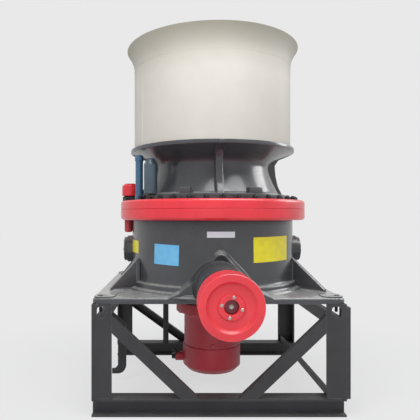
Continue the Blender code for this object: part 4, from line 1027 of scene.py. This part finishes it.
# %% Drive pulley, bush and shaft
pulley_radius, rear, front = drive_span("drive_pulley")
bush_radius, bush_rear, bush_front = drive_span("pulley_bush")
_, shaft_rear, shaft_front = drive_span("pinion_shaft")
GROOVES = 6
GROOVE_DEPTH = 0.018
RIM_BORE = pulley_radius - 0.044
WEB_FRONT = front - 0.022
WEB_REAR = WEB_FRONT - 0.05
BUSH_EYE = 0.041
SHAFT_END = 0.0395
pitch = (front - rear) / GROOVES
floor = pulley_radius - GROOVE_DEPTH
profile = [(RIM_BORE, rear), (pulley_radius - 0.002, rear), (pulley_radius, rear + 0.002)]
for index in range(GROOVES):
    start = rear + index * pitch + 0.004
    end = start + pitch - 0.008
    profile += [(pulley_radius, start), (floor + 0.003, start + 0.0045), (floor, start + 0.0075),
                (floor, end - 0.0075), (floor + 0.003, end - 0.0045), (pulley_radius, end)]
profile += [
    (pulley_radius, front - 0.003), (pulley_radius - 0.003, front), (RIM_BORE + 0.004, front),
    (RIM_BORE - 0.002, front - 0.005), (RIM_BORE - 0.012, WEB_FRONT + 0.004), (RIM_BORE - 0.020, WEB_FRONT),
    (bush_radius + HAIRLINE, WEB_FRONT), (bush_radius + HAIRLINE, WEB_REAR), (RIM_BORE, WEB_REAR),
]
drive_pieces = (
    ("v_belt_sheave", profile, 128, 0, RED_ENAMEL, "red_paint", "drive_pulley"),
    ("taper_bush", [
        (BUSH_EYE, bush_rear), (bush_radius, bush_rear), (bush_radius, WEB_FRONT + 0.002),
        (bush_radius - 0.006, bush_front), (BUSH_EYE + 0.003, bush_front), (BUSH_EYE, bush_front - 0.003),
    ], 72, 2, RED_ENAMEL, "red_paint", "pulley_bush"),
    # The shaft is drawn dark red: painted shade for its recessed end.
    ("pinion_shaft_turned", [
        (0.0, shaft_rear), (0.05, shaft_rear), (0.05, bush_rear - 0.001), (SHAFT_END, bush_rear + 0.001),
        (SHAFT_END, shaft_front), (0.0, shaft_front),
    ], 48, 2, RECESS_SHADED_STEEL, "machined_steel", "pinion_shaft"),
)
for name, outline, facets, edge_mm, material, slot, node in drive_pieces:
    dress(turned(name, outline, facets, DRIVE, "-Y", edge_mm), material, (node,), "drive")
KEY = [(0.022, 0.020), (0.030, 0.012), (0.040, 0.022), (0.032, 0.030)]
dress(extruded("shaft_key", KEY, -(shaft_front + 0.0015), -(shaft_front - 0.03), 1,
               place=Matrix.Translation(DRIVE)), BLACK_BOLT, body="drive")
fasteners("bush_screws", circle(4, 0.058, bush_front - 0.0005, -12, DRIVE, "-Y"), (0, -1, 0), 0.018, 0.009,
          ZINC, body="drive", washer=False)
fasteners("shaft_end_bolt", [DRIVE - Vector((0, shaft_front, 0))], (0, -1, 0), 0.022, 0.012, ZINC,
          body="drive")
print("pulley", round(2 * pulley_radius, 3), "m across,", GROOVES, "grooves")

# %% [markdown]
# The support frame is welded from rolled sections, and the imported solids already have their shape,
# so these nodes stay and get paint. A small bevel rounds their edges as the rolling mill does. Weld
# beads run round the feet of the posts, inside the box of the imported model, so a leg that stands at
# the edge of the box shows no bead on its outer side.

# %% Support frame
FRAME_NODES = [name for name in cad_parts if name.startswith(("post_", "beam_", "side_rail_", "brace_"))]
FRAME_NODES += ["rear_strut", "hooked_strap", "side_plate_right"]
for name in FRAME_NODES:
    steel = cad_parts[name]
    steel.data.materials.clear()
    steel.data.materials.append(FRAME_PAINT)
    rounding = steel.modifiers.new("rolled_edges", "BEVEL")
    rounding.width = 3 * MM
    rounding.segments = 2
    rounding.limit_method = "ANGLE"
    rounding.angle_limit = math.radians(40)
    rounding.harden_normals = False

BEAD = 0.004
PROUD = 0.001
LEG_BACK = 12 * MM + PROUD
LIMIT_X = min(-cad_box[0][0], cad_box[1][0]) - BEAD - 0.0002
LIMIT_Y = min(-cad_box[0][1], cad_box[1][1]) - BEAD - 0.0002


def weld_round(name, node, z, x, y):
    """A bead round the foot of an angle section, whose legs are its outer side and its front or rear."""
    low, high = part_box(node)
    outer_x, inner_x = (low[0], high[0]) if x < 0 else (high[0], low[0])
    outer_y, inner_y = (low[1], high[1]) if y < 0 else (high[1], low[1])
    path = [
        (outer_x + x * PROUD, outer_y + y * PROUD), (inner_x - x * PROUD, outer_y + y * PROUD),
        (inner_x - x * PROUD, outer_y - y * LEG_BACK), (outer_x - x * LEG_BACK, outer_y - y * LEG_BACK),
        (outer_x - x * LEG_BACK, inner_y - y * PROUD), (outer_x + x * PROUD, inner_y - y * PROUD),
    ]
    kept = [(min(max(a, -LIMIT_X), LIMIT_X), min(max(b, -LIMIT_Y), LIMIT_Y), z) for a, b in path]
    bead(name, kept, BEAD, FRAME_PAINT, closed=True)


beam_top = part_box("beam_front")[1][2]
for row, y in (("front", -1), ("rear", 1)):
    for side, x in (("left", -1), ("right", 1)):
        weld_round(f"post_foot_weld_{row}_{side}", f"post_{row}_{side}", beam_top + 0.003, x, y)
print("frame pieces painted:", len(FRAME_NODES))

# %% [markdown]
# Foundation studs hang under the feet into the pockets of the posts, each with a nut and a washer.
# The holes in the feet get a black lining and a black disc, painted shade, so that they read as dark holes
# from above.

# %% Foundation studs
stud_parts = (
    (16, [(0.0, -0.064), (0.009, -0.064), (0.011, -0.060), (0.011, 0.030), (0.0, 0.030)]),
    # Black lining and disc in each foot hole: painted shade.
    (32, rectangle(0.0188, 0.0197, 0.004, BASE_TOP - BASE_BOTTOM + 0.006)),
    (24, rectangle(0.0, 0.0197, 0.004, 0.012)),
    (6, rectangle(0.0, 0.021, -0.026, -0.004)),
    (24, rectangle(0.0, 0.024, -0.004, 0.0)),
)
stud_builder = bmesh.new()
for x, y in CORNERS:
    for facets, outline in stud_parts:
        spin_into(stud_builder, outline, facets, Matrix.Translation(foot_bolt(x, y, BASE_BOTTOM - HAIRLINE)))
dress(as_piece("foundation_studs", stud_builder), BLACK_BOLT)
print("studs:", len(CORNERS))

# %% [markdown]
# On the left flange stand the small fittings: a red hydraulic cap with its screws, a blue
# lubricator and a slate canister beside it, and a red rod under the ring.

# %% Fittings on the left
clamp_radius, clamp_base, clamp_top = span("clamp_cap")
rod_radius, rod_base, rod_top = span("clamp_rod")
lube_radius, lube_base, lube_top = span("lubricator")
can_radius, can_base, can_top = span("oil_canister")
NECK = 0.6 * clamp_radius
SHOULDER = clamp_base + 0.045
clamp_centre = footprint("clamp_cap")
dress(turned("clamp_cylinder_cap", [
    (0.0, clamp_base), (NECK, clamp_base), (NECK, clamp_base + 0.042), (clamp_radius, SHOULDER),
    (clamp_radius, clamp_top - 0.022), (clamp_radius - 0.022, clamp_top), (0.0, clamp_top),
], 56, clamp_centre, edge_mm=4), RED_ENAMEL, ("clamp_cap",))
gland = rectangle(NECK + 2 * HAIRLINE, 0.94 * clamp_radius, clamp_base + 0.002, clamp_base + 0.038)
dress(turned("clamp_gland", gland, 6, clamp_centre, edge_mm=2), BLACK_BOLT)
fasteners("clamp_screws", circle(4, 0.8 * clamp_radius, SHOULDER, 45, clamp_centre), (0, 0, -1), 0.018,
          0.014, BLACK_BOLT)
# The rod under the ring takes the darker red: painted shade.
dress(turned("clamp_cylinder_rod", [
    (0.0, rod_base), (0.7 * rod_radius, rod_base), (rod_radius, rod_base + 0.012), (rod_radius, rod_top),
    (0.0, rod_top),
], 40, footprint("clamp_rod")), SHADED_RED_ENAMEL, ("clamp_rod",))
dress(turned("lubricator_barrel", [
    (0.0, lube_base), (lube_radius, lube_base), (lube_radius, lube_base + 0.03),
    (0.86 * lube_radius, lube_base + 0.034), (0.86 * lube_radius, lube_top - 0.05),
    (lube_radius, lube_top - 0.046), (lube_radius, lube_top - 0.012), (0.6 * lube_radius, lube_top),
    (0.0, lube_top),
], 48, footprint("lubricator")), BLUE_ENAMEL, ("lubricator",))
dress(turned("oil_canister_body", [
    (0.0, can_base), (can_radius, can_base), (can_radius, can_top - 0.045),
    (0.62 * can_radius, can_top - 0.012), (0.62 * can_radius, can_top), (0.0, can_top),
], 56, footprint("oil_canister"), edge_mm=5), SLATE_ENAMEL, ("oil_canister",))
print("lubricator", round(lube_top - lube_base, 3), "m tall")

# %% [markdown]
# The drum carries three stickers and a small plate. Each is a thin bent sheet that follows the drum,
# a millimetre proud of it, and the two large ones are slightly crooked, as stuck by hand. They keep
# their ground colours and carry nothing.

# %% Stickers and plate
STICKER_PROUD = 0.0012
STICKER_BACK = -0.002


def wrapped_sheet(name, turn, height, width, tall, tilt, material):
    """A rectangle bent round the drum: turn and tilt in degrees, sizes in metres."""
    builder = bmesh.new()
    cosine, sine = math.cos(math.radians(tilt)), math.sin(math.radians(tilt))
    rows = []
    for layer, v in ((STICKER_PROUD, -0.5), (STICKER_PROUD, 0.5), (STICKER_BACK, 0.5), (STICKER_BACK, -0.5)):
        row = []
        for u in evenly(-0.5, 0.5, 24):
            across = u * width * cosine - v * tall * sine
            up = u * width * sine + v * tall * cosine
            degrees = turn + math.degrees(across / DRUM_RADIUS)
            row.append(builder.verts.new(AXIS + on_circle(DRUM_RADIUS + layer, degrees, height + up)))
        rows.append(row)
    join_rows(builder, rows, around=False, back=True)
    for end in (0, -1):
        builder.faces.new([row[end] for row in rows])
    return dress(as_piece(name, builder), material)


wrapped_sheet("blue_sticker", -124.3, 1.132, 0.222, 0.150, -1.5, BLUE_VINYL)
wrapped_sheet("yellow_sticker", -51.6, 1.172, 0.378, 0.184, 0.5, YELLOW_VINYL)
wrapped_sheet("pale_plate", -88.6, 1.284, 0.200, 0.043, 0, PALE_PLATE)
wrapped_sheet("side_sticker", -161.5, 1.172, 0.20, 0.10, 0, YELLOW_VINYL)
print("stickers placed")

# %% [markdown]
# The set is a pale floor with soft light: a broad lamp high on the left, a weaker one on the right and
# one low in front that lift the shadows, then some overhead and far to the right whose mirror images
# draw the bright lines along the fillets, and an even sky. The background's tone comes from its own
# colour as seen by the camera, not from more light on the machine; the floor fades into it.

# %% Floor, world and lamps
BACKDROP = "#e9e9e9"
NEAR_GLOW = 0.77
FADE_FROM, FADE_TO = 1.2, 3.2


def seen_directly(tree):
    """One for rays that show the set itself: from the camera, or by way of gloss or glass."""
    rays = add(tree, "ShaderNodeLightPath").outputs
    first = reckon(tree, "MAXIMUM", rays["Is Camera Ray"], rays["Is Glossy Ray"])
    return reckon(tree, "MAXIMUM", first, rays["Is Transmission Ray"])


floor_builder = bmesh.new()
bmesh.ops.create_grid(floor_builder, x_segments=1, y_segments=1, size=30.0)
studio_floor = as_piece("studio_floor", floor_builder)
material, tree, shader, place = start_material("matt_studio_floor")
wire(tree, shader, {"Base Color": linear("#dcdcdc"), "Roughness": 0.9})
distance = add(tree, "ShaderNodeVectorMath", {0: place}, operation="LENGTH").outputs["Value"]
fade = ranged(tree, distance, FADE_FROM, FADE_TO, NEAR_GLOW, 1.0)
glow = add(tree, "ShaderNodeEmission", {"Color": linear(BACKDROP), "Strength": 1.0})
surface = add(tree, "ShaderNodeMixShader", {
    0: reckon(tree, "MULTIPLY", seen_directly(tree), fade), 1: shader.outputs["BSDF"],
    2: glow.outputs["Emission"],
})
wire(tree, tree.nodes["Material Output"], {"Surface": surface.outputs["Shader"]})
studio_floor.data.materials.append(material)

world = bpy.data.worlds.new("soft_studio")
bpy.context.scene.world = world
world.use_nodes = True
tree = world.node_tree
tree.nodes.clear()
sky = add(tree, "ShaderNodeBackground", {"Color": linear("#e6e9ee"), "Strength": 0.55})
backdrop = add(tree, "ShaderNodeBackground", {"Color": linear(BACKDROP), "Strength": 1.0})
blend = add(tree, "ShaderNodeMixShader", {0: seen_directly(tree), 1: sky.outputs[0], 2: backdrop.outputs[0]})
add(tree, "ShaderNodeOutputWorld", {"Surface": blend.outputs[0]})


def soft_lamp(name, place, size, power, aim_height=1.3, mirrored=True, lights=True):
    """A round soft lamp. It can be kept out of the paint's gloss, or be seen in the gloss alone."""
    data = bpy.data.lights.new(name, "AREA")
    data.shape = "DISK"
    data.size = size
    data.energy = power
    lamp = bpy.data.objects.new(name, data)
    lamp.visible_glossy = mirrored
    lamp.visible_diffuse = lights
    bpy.context.scene.collection.objects.link(lamp)
    lamp.location = AXIS + Vector(place)
    direction = AXIS + Vector((0.0, 0.0, aim_height)) - lamp.location
    lamp.rotation_euler = direction.to_track_quat("-Z", "Y").to_euler()


soft_lamp("key_lamp", (-3.2, -4.4, 5.2), 3.0, 172, mirrored=False)
soft_lamp("fill_lamp", (3.6, -3.9, 3.6), 2.5, 60, mirrored=False)
soft_lamp("low_lamp", (-0.5, -5.0, 0.4), 3.0, 34, 1.6, mirrored=False)
soft_lamp("gloss_lamp", (1.9, -1.5, 5.2), 2.6, 110, lights=False)
soft_lamp("top_lamp", (0.2, -1.9, 5.6), 2.8, 140)
soft_lamp("side_lamp", (4.7, 0.9, 3.6), 2.6, 110, lights=False)
bpy.context.scene.view_settings.view_transform = "Standard"
